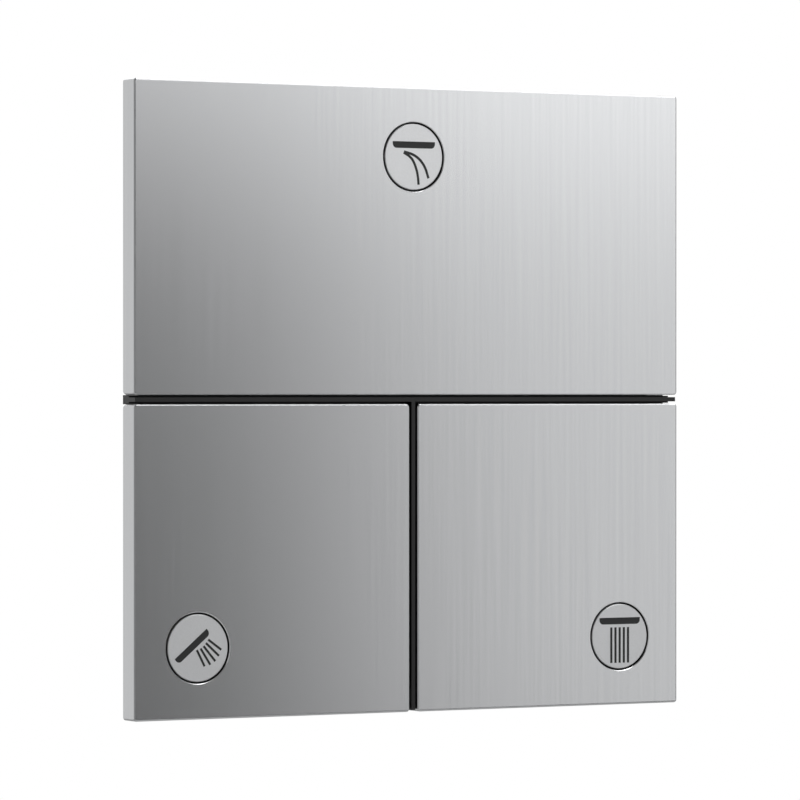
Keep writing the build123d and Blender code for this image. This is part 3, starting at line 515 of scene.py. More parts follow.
def new_piece(name: str, mesh: bpy.types.Mesh, *finishes: Finish) -> bpy.types.Object:
    """Put a mesh into the scene as a piece with its finishes.

    Args:
        name: name of the new piece.
        mesh: its mesh.
        finishes: its finishes, in the order of the mesh's numbers.

    Returns:
        The new piece, which still rides on nothing.
    """
    piece = bpy.data.objects.new(name, mesh)
    bpy.context.scene.collection.objects.link(piece)
    if finishes:
        mesh.materials.clear()
    for finish in finishes:
        mesh.materials.append(finish.material())
    return piece


def weight_normals(piece: bpy.types.Object) -> bpy.types.Object:
    """Let the large faces keep their own shading where they meet a small edge.

    Args:
        piece: the piece, with its sharp edges marked.

    Returns:
        The same piece.
    """
    modifier = piece.modifiers.new("edges", "WEIGHTED_NORMAL")
    modifier.keep_sharp = True
    return evaluated(piece)


def cut(piece: bpy.types.Object, low: Spatial, high: Spatial) -> bpy.types.Object:
    """Cut a box out of a piece.

    Args:
        piece: the piece, in metres.
        low: lowest corner of the box, in millimetres.
        high: highest corner of the box, in millimetres.

    Returns:
        The same piece.
    """
    work = bmesh.new()
    bmesh.ops.create_cube(work, size=1.0)
    for vertex in work.verts:
        share = [0.5 + value for value in vertex.co]
        vertex.co = Vector([(a + (b - a) * s) * MM for a, b, s in zip(low, high, share)])
    cutter = new_piece("cutter", mesh_of(work, "cutter"))
    modifier = piece.modifiers.new("cut", "BOOLEAN")
    modifier.object = cutter
    modifier.operation = "DIFFERENCE"
    modifier.solver = "EXACT"
    evaluated(piece)
    bpy.data.objects.remove(cutter)
    return piece


def refined(node: str, name: str, edge: float, *finishes: Finish) -> bpy.types.Object:
    """Stand a smooth copy with softened edges in for a node of loose triangles.

    Args:
        node: the node to copy.
        name: name of the new piece.
        edge: width of the softened edges in millimetres, or 0 for sharp ones.
        finishes: the piece's finishes.

    Returns:
        The new piece, which still rides on nothing.
    """
    work = bmesh.new()
    work.from_mesh(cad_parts[node].data)
    bmesh.ops.remove_doubles(work, verts=work.verts, dist=MERGE_DISTANCE)
    bmesh.ops.dissolve_limit(work, angle_limit=FLAT_ENOUGH, verts=work.verts, edges=work.edges)
    made = bpy.data.meshes.new(name)
    for face in work.faces:
        face.smooth = True
    work.to_mesh(made)
    work.free()
    for layer in list(made.attributes):
        if layer.name in ("custom_normal", "sharp_face"):
            made.attributes.remove(layer)
    made.set_sharp_from_angle(angle=SOFTENED_EDGE)
    piece = new_piece(name, made, *finishes)
    if edge:
        modifier = piece.modifiers.new("edges", "BEVEL")
        modifier.width = edge * MM
        modifier.segments = 2
        modifier.limit_method = "ANGLE"
        modifier.angle_limit = SOFTENED_EDGE
        modifier.use_clamp_overlap = True
        evaluated(piece)
    return weight_normals(piece)


def settle(piece: bpy.types.Object, body: str, slot: str, *nodes: str) -> bpy.types.Object:
    """Give a finished piece its body and hide the nodes that it stands for.

    Args:
        piece: the finished piece.
        body: the body that it moves with.
        slot: the record's material slot; not used.
        nodes: the nodes that it replaces, if any.

    Returns:
        The same piece.
    """
    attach(piece, body)
    if nodes:
        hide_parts(*nodes)
    LOG.info("%s rides on %s, %d faces", piece.name, body, len(piece.data.polygons))
    return piece


def dress(node: str, finish: Finish) -> None:
    """Give a node that keeps its own shape its finish.

    Args:
        node: name of the node.
        finish: its finish.
    """
    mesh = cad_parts[node].data
    mesh.materials.clear()
    mesh.materials.append(finish.material())
    LOG.info("%s keeps its shape, in %s", node, finish.name)


class ShapeTree:
    """A Geometry Nodes tree with named inputs, which ends in real geometry with its material."""

    def __init__(self, name: str, inputs: Mapping[str, str]) -> None:
        """Start a tree.

        Args:
            name: name of the tree.
            inputs: name of each input to its socket type.
        """
        self.tree = bpy.data.node_groups.new(name, "GeometryNodeTree")
        face = self.tree.interface
        face.new_socket(name="Geometry", in_out="INPUT", socket_type="NodeSocketGeometry")
        face.new_socket(name="Geometry", in_out="OUTPUT", socket_type="NodeSocketGeometry")
        kinds = dict(inputs) | {"Material": "NodeSocketMaterial"}
        self.identifiers = {
            key: face.new_socket(name=key, in_out="INPUT", socket_type=kind).identifier
            for key, kind in kinds.items()
        }
        self.start = add_node(self.tree, "NodeGroupInput")

    def given(self, name: str) -> bpy.types.NodeSocket:
        """Socket that brings a named input."""
        return self.start.outputs[name]

    def maths(self, operation: str, *values: object) -> bpy.types.NodeSocket:
        """Result of a sum on sockets or numbers."""
        return add_node(
            self.tree, "ShaderNodeMath", {"operation": operation}, dict(enumerate(values))
        ).outputs[0]

    def end(self, geometry: bpy.types.NodeSocket) -> None:
        """Close the tree.

        Args:
            geometry: socket with the shape, which is made real and gets the material.
        """
        real = add_node(self.tree, "GeometryNodeRealizeInstances", None, {"Geometry": geometry})
        coated = add_node(
            self.tree,
            "GeometryNodeSetMaterial",
            None,
            {"Geometry": real.outputs[0], "Material": self.given("Material")},
        )
        add_node(self.tree, "NodeGroupOutput", None, {"Geometry": coated.outputs[0]})

    def run(self, piece: bpy.types.Object, **values: object) -> bpy.types.Object:
        """Run the tree on a piece and keep the result as its plain mesh.

        Args:
            piece: the piece whose mesh goes in.
            values: input names, with underscores for blanks, to values.

        Returns:
            The same piece.
        """
        modifier = piece.modifiers.new("shape", "NODES")
        modifier.node_group = self.tree
        for key, value in values.items():
            modifier[self.identifiers[key.replace("_", " ")]] = value
        return evaluated(piece)


def thread_tree() -> ShapeTree:
    """Tree that cuts a screw thread into a blank that stands along Z.

    Every point of the blank between the start and the end is drawn in towards the root
    where the thread's groove passes it, and the groove fades out at the start.

    Returns:
        The tree, with the thread's sizes as inputs.
    """
    shape = ShapeTree(
        "cut_thread",
        {
            "Crest Radius": "NodeSocketFloat",
            "Thread Depth": "NodeSocketFloat",
            "Pitch": "NodeSocketFloat",
            "Start": "NodeSocketFloat",
            "Run Out": "NodeSocketFloat",
        },
    )
    tree = shape.tree
    position = add_node(tree, "GeometryNodeInputPosition")
    split = add_node(tree, "ShaderNodeSeparateXYZ", None, {0: position.outputs[0]})
    flat = add_node(
        tree, "ShaderNodeCombineXYZ", None, {"X": split.outputs["X"], "Y": split.outputs["Y"]}
    ).outputs[0]
    radius = add_node(
        tree, "ShaderNodeVectorMath", {"operation": "LENGTH"}, {0: flat}
    ).outputs["Value"]
    angle = shape.maths("ARCTAN2", split.outputs["Y"], split.outputs["X"])
    turns = shape.maths("DIVIDE", angle, 2 * math.pi)
    pitches = shape.maths("DIVIDE", split.outputs["Z"], shape.given("Pitch"))
    phase = shape.maths("FRACT", shape.maths("SUBTRACT", pitches, turns))
    groove = shape.maths("PINGPONG", shape.maths("MULTIPLY", phase, 2.0), 1.0)
    past = shape.maths("SUBTRACT", split.outputs["Z"], shape.given("Start"))
    fade = add_node(
        tree, "ShaderNodeClamp", None, {"Value": shape.maths("DIVIDE", past, shape.given("Run Out"))}
    ).outputs[0]
    depth = shape.maths("MULTIPLY", shape.maths("MULTIPLY", groove, fade), shape.given("Thread Depth"))
    wanted = shape.maths("MINIMUM", radius, shape.maths("SUBTRACT", shape.given("Crest Radius"), depth))
    ratio = shape.maths("DIVIDE", shape.maths("SUBTRACT", wanted, radius), radius)
    offset = add_node(
        tree, "ShaderNodeVectorMath", {"operation": "SCALE"}, {0: flat, "Scale": ratio}
    )
    threaded = shape.maths("GREATER_THAN", past, 0.0)
    moved = add_node(
        tree,
        "GeometryNodeSetPosition",
        None,
        {"Geometry": shape.given("Geometry"), "Selection": threaded, "Offset": offset.outputs[0]},
    )
    shape.end(moved.outputs[0])
    return shape


def pattern_tree() -> ShapeTree:
    """Tree that sets one pattern piece on every point of a mesh.

    Returns:
        The tree, with the pattern as an input.
    """
    shape = ShapeTree("repeat_piece", {"Pattern": "NodeSocketObject"})
    pattern = add_node(
        shape.tree, "GeometryNodeObjectInfo", {"transform_space": "ORIGINAL"},
        {"Object": shape.given("Pattern"), "As Instance": True},
    )
    placed = add_node(
        shape.tree,
        "GeometryNodeInstanceOnPoints",
        None,
        {"Points": shape.given("Geometry"), "Instance": pattern.outputs["Geometry"]},
    )
    shape.end(placed.outputs[0])
    return shape


def coil_tree() -> ShapeTree:
    """Tree that winds a round wire into a spring along Z.

    Returns:
        The tree, with the spring's sizes as inputs.
    """
    shape = ShapeTree(
        "wind_spring",
        {
            "Coil Radius": "NodeSocketFloat",
            "Wire Radius": "NodeSocketFloat",
            "Turns": "NodeSocketFloat",
            "Height": "NodeSocketFloat",
        },
    )
    spiral = add_node(
        shape.tree,
        "GeometryNodeCurveSpiral",
        None,
        {
            "Resolution": 40,
            "Rotations": shape.given("Turns"),
            "Start Radius": shape.given("Coil Radius"),
            "End Radius": shape.given("Coil Radius"),
            "Height": shape.given("Height"),
        },
    )
    wire = add_node(
        shape.tree, "GeometryNodeCurvePrimitiveCircle", {"mode": "RADIUS"},
        {"Resolution": 16, "Radius": shape.given("Wire Radius")},
    )
    swept = add_node(
        shape.tree,
        "GeometryNodeCurveToMesh",
        None,
        {"Curve": spiral.outputs["Curve"], "Profile Curve": wire.outputs["Curve"], "Fill Caps": True},
    )
    shape.end(swept.outputs[0])
    return shape


CUT_THREAD = thread_tree()
REPEAT_PIECE = pattern_tree()
WIND_SPRING = coil_tree()


def repeated(
    name: str, pattern: bpy.types.Mesh, places: Sequence[Spatial], axis: Spatial, finish: Finish
) -> bpy.types.Object:
    """Make a piece of equal parts, one on each place.

    Args:
        name: name of the piece.
        pattern: mesh of one part, in millimetres along Z.
        places: where the parts' origins lie, in millimetres.
        axis: the way that each part's Z points.
        finish: the parts' finish.

    Returns:
        The new piece.
    """
    pattern.transform(Spot((0.0, 0.0, 0.0), axis).matrix)
    model = new_piece(f"{name}_pattern", pattern)
    points = bpy.data.meshes.new(name)
    points.from_pydata([tuple(value * MM for value in place) for place in places], [], [])
    piece = REPEAT_PIECE.run(new_piece(name, points), Pattern=model, Material=finish.material())
    bpy.data.objects.remove(model)
    piece.data.set_sharp_from_angle(angle=CREASE)
    return piece


FACE_FRONT = -11.0
FACE_REAR = -9.0
SKIRT_REAR = -5.0
PLATE_HALF = 85.0
SEAM_HALF = 1.25
POCKET_FLOOR = -9.8
DISC_FACE = -10.95
INTO_WALL: Spatial = (0.0, 1.0, 0.0)
TO_ROOM: Spatial = (0.0, -1.0, 0.0)

# How close a face lies to a plane to count as part of it, and how far a cutter passes a face
NEAR = 0.01
CUT_MARGIN = 0.5


class Symbol(Enum):
    """What a disc shows."""

    SPOUT = "spout"
    HAND_SHOWER = "hand_shower"
    RAIN_SHOWER = "rain_shower"


@dataclass(frozen=True)
class Linework:
    """Lines of one symbol, about the disc's centre and as seen from the room.

    Attributes:
        bar: lower left and upper right corner of the head's bar, before its tilt.
        tilt: turn of the bar about its own origin, in degrees.
        origin: where the bar's own origin lies.
        streams: water lines, each through its points.
        width: width of the water lines.
        corner: radius of the bar's lower corners.
        steps: steps in a round stretch.
        base: how far the lines are sunk into the disc.
        proud: how far they stand out of it.
    """

    bar: tuple[Flat, Flat]
    tilt: float
    origin: Flat
    streams: tuple[tuple[Flat, ...], ...]
    width: float
    corner: float = 1.2
    steps: int = 8
    base: float = 0.01
    proud: float = 0.03

    def bar_outline(self) -> list[Flat]:
        """Draw the bar, square above and rounded below.

        Returns:
            The outline's points about the disc's centre.
        """
        (left, low), (right, high) = self.bar
        points = [(right, high), (left, high)]
        for centre_x, start in ((left + self.corner, 180.0), (right - self.corner, 270.0)):
            for step in range(self.steps + 1):
                angle = math.radians(start + 90.0 * step / self.steps)
                across = centre_x + self.corner * math.cos(angle)
                up = low + self.corner * (1 + math.sin(angle))
                points.append((across, up))
        turn = math.radians(self.tilt)
        return [
            (
                self.origin[0] + x * math.cos(turn) - z * math.sin(turn),
                self.origin[1] + x * math.sin(turn) + z * math.cos(turn),
            )
            for x, z in points
        ]

    def smooth_path(self, points: Sequence[Flat]) -> list[Flat]:
        """Run a smooth curve through the points of one water line.

        Args:
            points: the line's points.

        Returns:
            Points along the curve.
        """
        if len(points) == 2:
            return list(points)
        padded = [points[0], *points, points[-1]]
        path = []
        for index in range(1, len(padded) - 2):
            before, start, stop, after = (Vector(padded[index + offset]) for offset in (-1, 0, 1, 2))
            for step in range(self.steps):
                t = step / self.steps
                at = 0.5 * (
                    2 * start
                    + (stop - before) * t
                    + (2 * before - 5 * start + 4 * stop - after) * t * t
                    + (3 * start - before - 3 * stop + after) * t**3
                )
                path.append((at.x, at.y))
        return [*path, points[-1]]

    def stroke_outline(self, points: Sequence[Flat]) -> list[Flat]:
        """Draw one water line, blunt at both ends.

        Args:
            points: the line's points.

        Returns:
            The outline's points about the disc's centre.
        """
        path = [Vector(point) for point in self.smooth_path(points)]
        left, right = [], []
        for index, point in enumerate(path):
            way = path[min(index + 1, len(path) - 1)] - path[max(index - 1, 0)]
            normal = Vector((-way.y, way.x)).normalized() * self.width / 2
            left.append(tuple(point + normal))
            right.append(tuple(point - normal))
        return right + left[::-1]

    def mesh(self, name: str, centre: Flat) -> list[bpy.types.Mesh]:
        """Raise every outline from the disc's face.

        Args:
            name: name of the new meshes.
            centre: the disc's centre, as x and z.

        Returns:
            One closed mesh for each outline, in metres.
        """
        made = []
        for outline in (self.bar_outline(), *(self.stroke_outline(points) for points in self.streams)):
            work = bmesh.new()
            points = [(centre[0] + x, centre[1] + z) for x, z in outline]
            rear = add_ring(work, points, [DISC_FACE + self.base] * len(points))
            front = add_ring(work, points, [DISC_FACE - self.proud] * len(points))
            work.faces.new(rear)
            work.faces.new(front[::-1])
            join_rings(work, rear, front)
            made.append(mesh_of(work, name))
        return made


LINEWORK = {
    Symbol.SPOUT: Linework(
        bar=((-6.6, 2.35), (6.6, 4.15)),
        tilt=0.0,
        origin=(0.0, 0.0),
        streams=(
            ((-3.2, 1.15), (-1.5, 0.2), (-0.34, -0.95), (0.66, -3.0), (1.26, -5.4), (1.46, -7.55)),
            ((-3.1, 1.35), (-0.34, 0.62), (1.86, -0.75), (3.5, -2.9), (4.56, -5.75)),
        ),
        width=0.72,
    ),
    Symbol.HAND_SHOWER: Linework(
        bar=((0.0, -1.8), (12.4, 0.0)),
        tilt=39.7,
        origin=(-6.95, -2.8),
        streams=(
            ((-0.34, -0.5), (1.96, -4.9)),
            ((0.76, -0.1), (3.66, -4.5)),
            ((1.66, 0.5), (5.16, -3.6)),
            ((2.36, 1.3), (6.26, -2.2)),
            ((3.06, 2.2), (6.96, -0.6)),
        ),
        width=0.62,
    ),
    Symbol.RAIN_SHOWER: Linework(
        bar=((-6.6, 3.35), (6.6, 5.2)),
        tilt=0.0,
        origin=(0.0, 0.0),
        streams=tuple(((1.37 * step, 2.5), (1.37 * step, -7.4)) for step in (-2, -1, 0, 1, 2)),
        width=0.7,
    ),
}


@dataclass(frozen=True)
class PaddleFace:
    """One rocking paddle: its metal shell, the disc let into it and the disc's symbol.

    Attributes:
        name: the paddle's name in the model.
        left: left end of its field.
        right: right end of its field.
        upward: 1 for the upper paddle, -1 for a lower one.
        disc_x: place of the disc across the plate.
        symbol: what the disc shows.
        edge_round: radius of the plate's outer edges.
        seam_chamfer: chamfer of the edges along the seams.
        corner: radius of the pan's corners.
        inner_corner: radius of its inner corners.
        skirt: thickness of its sides.
        seam_skirt: depth of the side along the upright seam.
        outer_skirt_step: how much further back the outer sides reach.
        arc_steps: steps round a corner.
        edge_steps: steps over an edge.
        disc_distance: height of the disc above or below the middle.
        disc_radius: radius of the disc.
        pocket_radius: radius of its pocket.
        pocket_chamfer: fine chamfer of the pocket.
        disc_chamfer: fine chamfer of the disc.
        rear_break: broken edge at the pan's rear.
    """

    name: str
    left: float
    right: float
    upward: int
    disc_x: float
    symbol: Symbol
    edge_round: float = 0.6
    seam_chamfer: float = 0.3
    corner: float = 0.9
    inner_corner: float = 0.2
    skirt: float = 1.6
    seam_skirt: float = 3.8
    outer_skirt_step: float = 0.6
    arc_steps: int = 8
    edge_steps: int = 7
    disc_distance: float = 66.0
    disc_radius: float = 8.98
    pocket_radius: float = 9.5
    pocket_chamfer: float = 0.18
    disc_chamfer: float = 0.18
    rear_break: float = 0.15

    @property
    def body(self) -> str:
        """Body that the paddle's pieces ride on."""
        return f"{self.name}_paddle"

    @property
    def low(self) -> float:
        """Lower end of the field."""
        return SEAM_HALF if self.upward > 0 else -PLATE_HALF

    @property
    def high(self) -> float:
        """Upper end of the field."""
        return PLATE_HALF if self.upward > 0 else -SEAM_HALF

    @property
    def disc_centre(self) -> Flat:
        """Centre of the disc, as x and z."""
        return self.disc_x, self.upward * self.disc_distance

    def seam_share(self, quarter: int) -> float:
        """1 where the side in that quarter, from the right round over the top, is a seam."""
        side = (self.right, self.high, self.left, self.low)[quarter % 4]
        return 1.0 if abs(side) < PLATE_HALF else 0.0

    def ring(self, offset: float, corner: float) -> list[tuple[Vector, Vector, float]]:
        """Points round the field.

        Args:
            offset: how far the ring lies inside the field's edge.
            corner: radius of its corners.

        Returns:
            For each point its x and z, the way outwards, and its share of a seam's edge.
        """
        points = []
        centres = (
            (self.right - offset - corner, self.high - offset - corner),
            (self.left + offset + corner, self.high - offset - corner),
            (self.left + offset + corner, self.low + offset + corner),
            (self.right - offset - corner, self.low + offset + corner),
        )
        for quarter, centre in enumerate(centres):
            for step in range(self.arc_steps + 1):
                share = step / self.arc_steps
                angle = math.radians(90.0 * (quarter + share))
                way = Vector((math.cos(angle), math.sin(angle)))
                seam = self.seam_share(quarter) * (1 - share) + self.seam_share(quarter + 1) * share
                points.append((Vector(centre) + way * corner, way, seam))
        return points

    def shell_mesh(self) -> bpy.types.Mesh:
        """Make the pan with its rounded edges and the disc's pocket.

        Returns:
            Closed mesh, in metres.
        """
        work = bmesh.new()

        outer = self.ring(0.0, self.corner)
        inner = [tuple(point) for point, _, _ in self.ring(self.skirt, self.inner_corner)]
        rear = [SKIRT_REAR + self.outer_skirt_step * (1 - seam) for _, _, seam in outer]
        rings = [
            add_ring(work, inner, [FACE_REAR] * len(outer)),
            add_ring(work, inner, rear),
            add_ring(work, [tuple(point - way * self.rear_break) for point, way, _ in outer], rear),
            add_ring(work, [tuple(point) for point, _, _ in outer], [y - self.rear_break for y in rear]),
        ]
        for step in range(self.edge_steps + 1):
            share = step / self.edge_steps
            angle = share * math.pi / 2
            flat_points, depths = [], []
            for point, way, seam in outer:
                rounded, chamfered = self.edge_round * (1 - seam), self.seam_chamfer * seam
                inset = rounded * (1 - math.cos(angle)) + chamfered * share
                drop = rounded * (1 - math.sin(angle)) + chamfered * (1 - share)
                flat_points.append(tuple(point - way * inset))
                depths.append(FACE_FRONT + drop)
            rings.append(add_ring(work, flat_points, depths))
        for first, second in zip(rings, rings[1:]):
            join_rings(work, first, second)
        work.faces.new(rings[0])

        # Pocket, whose rim meets the face in two faces that share it between them
        circles = []
        turns = [2 * math.pi * step / TURN_SEGMENTS for step in range(TURN_SEGMENTS)]
        centre_x, centre_z = self.disc_centre
        for radius, depth in (
            (self.pocket_radius + self.pocket_chamfer, FACE_FRONT),
            (self.pocket_radius, FACE_FRONT + self.pocket_chamfer),
            (self.pocket_radius, POCKET_FLOOR),
        ):
            points = [
                (centre_x + radius * math.cos(turn), centre_z + radius * math.sin(turn)) for turn in turns
            ]
            circles.append(add_ring(work, points, [depth] * TURN_SEGMENTS))
        join_rings(work, circles[0], circles[1])
        join_rings(work, circles[1], circles[2])
        work.faces.new(circles[2])
        face, rim = rings[-1], circles[0]
        half = TURN_SEGMENTS // 2
        upper_left = self.arc_steps + 1 + self.arc_steps // 2
        lower_right = upper_left + 2 * (self.arc_steps + 1)
        work.faces.new(face[upper_left : lower_right + 1] + [rim[0]] + rim[: half - 1 : -1])
        work.faces.new(face[lower_right:] + face[: upper_left + 1] + rim[half::-1])
        return mesh_of(work, f"{self.name}_paddle_cover")

    def reach(self, centre: Vector) -> float:
        """Distance of a point in millimetres from the disc's axis."""
        return math.hypot(centre.x - self.disc_centre[0], centre.z - self.disc_centre[1])

    def is_rim(self, centre: Vector) -> bool:
        """Tell whether a face of the shell is the pocket's fine chamfer.

        Args:
            centre: the face's centre, in millimetres.

        Returns:
            True on the chamfer.
        """
        if centre.y > FACE_REAR:
            return False
        return NEAR < self.reach(centre) - self.pocket_radius < self.pocket_chamfer

    def is_painted_shade(self, centre: Vector) -> bool:
        """Tell whether a face of the shell gets painted shade, in the disc's ring or in a seam.

        Args:
            centre: the face's centre, in millimetres.

        Returns:
            True on the pocket's wall and floor and on the sides along a seam.
        """
        in_pocket = FACE_FRONT + self.pocket_chamfer < centre.y < POCKET_FLOOR + CUT_MARGIN
        in_ring = in_pocket and self.reach(centre) < self.pocket_radius + NEAR
        beside_seam = abs(abs(centre.z) - SEAM_HALF) < NEAR
        if self.upward < 0:
            beside_seam = beside_seam or abs(abs(centre.x) - SEAM_HALF) < NEAR
        return in_ring or (beside_seam and centre.y > FACE_FRONT + self.seam_chamfer)

    def build_shell(self) -> None:
        """Make the metal shell, with the room that the seam bar's foot needs."""
        shell = new_piece(
            f"{self.name}_paddle_cover", self.shell_mesh(), SATIN_CHROME, PAINTED_SHADE, BRIGHT_CHROME
        )
        if self.upward < 0:
            seam_side = self.left if self.left > 0 else self.right
            ends = (
                seam_side - math.copysign(CUT_MARGIN, seam_side),
                seam_side + math.copysign(self.skirt, seam_side),
            )
            cut(
                shell,
                (min(ends), FACE_FRONT + self.seam_skirt, self.low + self.skirt),
                (max(ends), SKIRT_REAR + CUT_MARGIN, self.high - self.skirt),
            )
        # Faces in the disc's ring and on the sides along the seams get near black painted shade; the
        # pocket's fine chamfer gets the bright finish.
        for polygon in shell.data.polygons:
            centre = polygon.center / MM
            polygon.material_index = int(self.is_painted_shade(centre)) + 2 * int(self.is_rim(centre))
        weight_normals(shell)
        settle(shell, self.body, "paddle_steel", f"{self.name}_paddle_shell")

    def build_disc(self) -> None:
        """Turn the disc, matt on its face and bright on its rim."""
        radius, chamfer = self.disc_radius, self.disc_chamfer
        height = POCKET_FLOOR - DISC_FACE
        disc = turned(
            [
                Row(0.0, 0.0),
                Row(radius, 0.0),
                Row(radius, height - chamfer),
                Row(radius - chamfer, height),
                Row(0.0, height),
            ],
            f"{self.name}_disc",
        )
        for polygon in disc.polygons:
            reach = math.hypot(polygon.center.x, polygon.center.y)
            polygon.material_index = int(reach > radius - chamfer)
        centre_x, centre_z = self.disc_centre
        disc.transform(Spot((centre_x, POCKET_FLOOR, centre_z), TO_ROOM).matrix)
        piece = weight_normals(new_piece(f"{self.name}_disc", disc, BLASTED_CHROME, BRIGHT_CHROME))
        settle(piece, self.body, "disc_steel", f"{self.name}_symbol_disc")

    def build_symbol(self) -> None:
        """Melt the symbol's lines into one piece on the disc."""
        lines = [
            new_piece(f"{self.name}_{self.symbol.value}_line", mesh, LINE_ENAMEL)
            for mesh in LINEWORK[self.symbol].mesh(f"{self.name}_line", self.disc_centre)
        ]
        settle(united(lines, f"{self.name}_{self.symbol.value}_symbol"), self.body, "bar_black")

    def build(self) -> None:
        """Make the shell, the disc and the symbol."""
        self.build_shell()
        self.build_disc()
        self.build_symbol()


def united(pieces: Sequence[bpy.types.Object], name: str) -> bpy.types.Object:
    """Melt pieces into one closed piece.

    Args:
        pieces: the pieces, of which only the first stays.
        name: its new name.

    Returns:
        The piece that holds them all.
    """
    first, *others = pieces
    for other in others:
        modifier = first.modifiers.new("melt", "BOOLEAN")
        modifier.object = other
        modifier.operation = "UNION"
        modifier.solver = "EXACT"
    first.name = name
    evaluated(first)
    for other in others:
        bpy.data.objects.remove(other)
    return first


@dataclass(frozen=True)
class SeamBar:
    """The black bar in the seams between the paddles.

    Attributes:
        edge: width of its softened edges.
    """

    edge: float = 0.12

    def build(self) -> None:
        """Make the bar with its fine edges."""
        piece = refined("seam_bar", "seam_profile", self.edge, BLACK_ANODISED)
        settle(piece, "housing", "bar_black", "seam_bar")


@dataclass(frozen=True)
class PanHead:
    """A pan head screw with a hexagon socket, along Z from its seat.

    Attributes:
        head_radius: radius of the head.
        head_height: height of the head.
        shank_radius: radius of the shank.
        length: length below the seat.
        socket: socket size across flats.
        socket_depth: depth of the socket's flats.
        socket_point: depth of the drilled point below them.
        socket_lead: depth of the lead-in above them.
        mouth: share of the socket that the lead-in opens to.
        crown: share of the radius where the flat crown ends, and its drop there.
        head_shape: shares of the head's radius and height down to its side.
        seat_break: broken edge at the seat.
        tip_length: length of the tapered tip.
        tip_step: how far the tip tapers.
    """

    head_radius: float
    head_height: float
    shank_radius: float
    length: float
    socket: float
    socket_depth: float = 0.95
    socket_point: float = 0.15
    socket_lead: float = 0.12
    mouth: float = 1.22
    crown: Flat = (0.72, 0.03)
    head_shape: tuple[Flat, ...] = ((0.9, 0.22), (1.0, 0.6))
    seat_break: float = 0.1
    tip_length: float = 0.6
    tip_step: float = 0.5

    def mesh(self, name: str) -> bpy.types.Mesh:
        """Turn the screw.

        Args:
            name: name of the new mesh.

        Returns:
            Closed mesh in millimetres.
        """
        radius, shank, top = self.head_radius, self.shank_radius, -self.head_height
        socket = self.socket / 2
        return turned(
            [
                Row(0.0, top + self.socket_depth + self.socket_point),
                Row(socket, top + self.socket_depth, self.socket),
                Row(socket, top + self.socket_lead, self.socket),
                Row(socket * self.mouth, top),
                Row(radius * self.crown[0], top + self.crown[1]),
                *(Row(radius * wide, top + self.head_height * deep) for wide, deep in self.head_shape),
                Row(radius, -self.seat_break),
                Row(radius - self.seat_break, 0.0),
                Row(shank, 0.0),
                Row(shank, self.length - self.tip_length),
                Row(shank - self.tip_step, self.length),
                Row(0.0, self.length),
            ],
            name,
            segments=SCREW_SEGMENTS,
        )


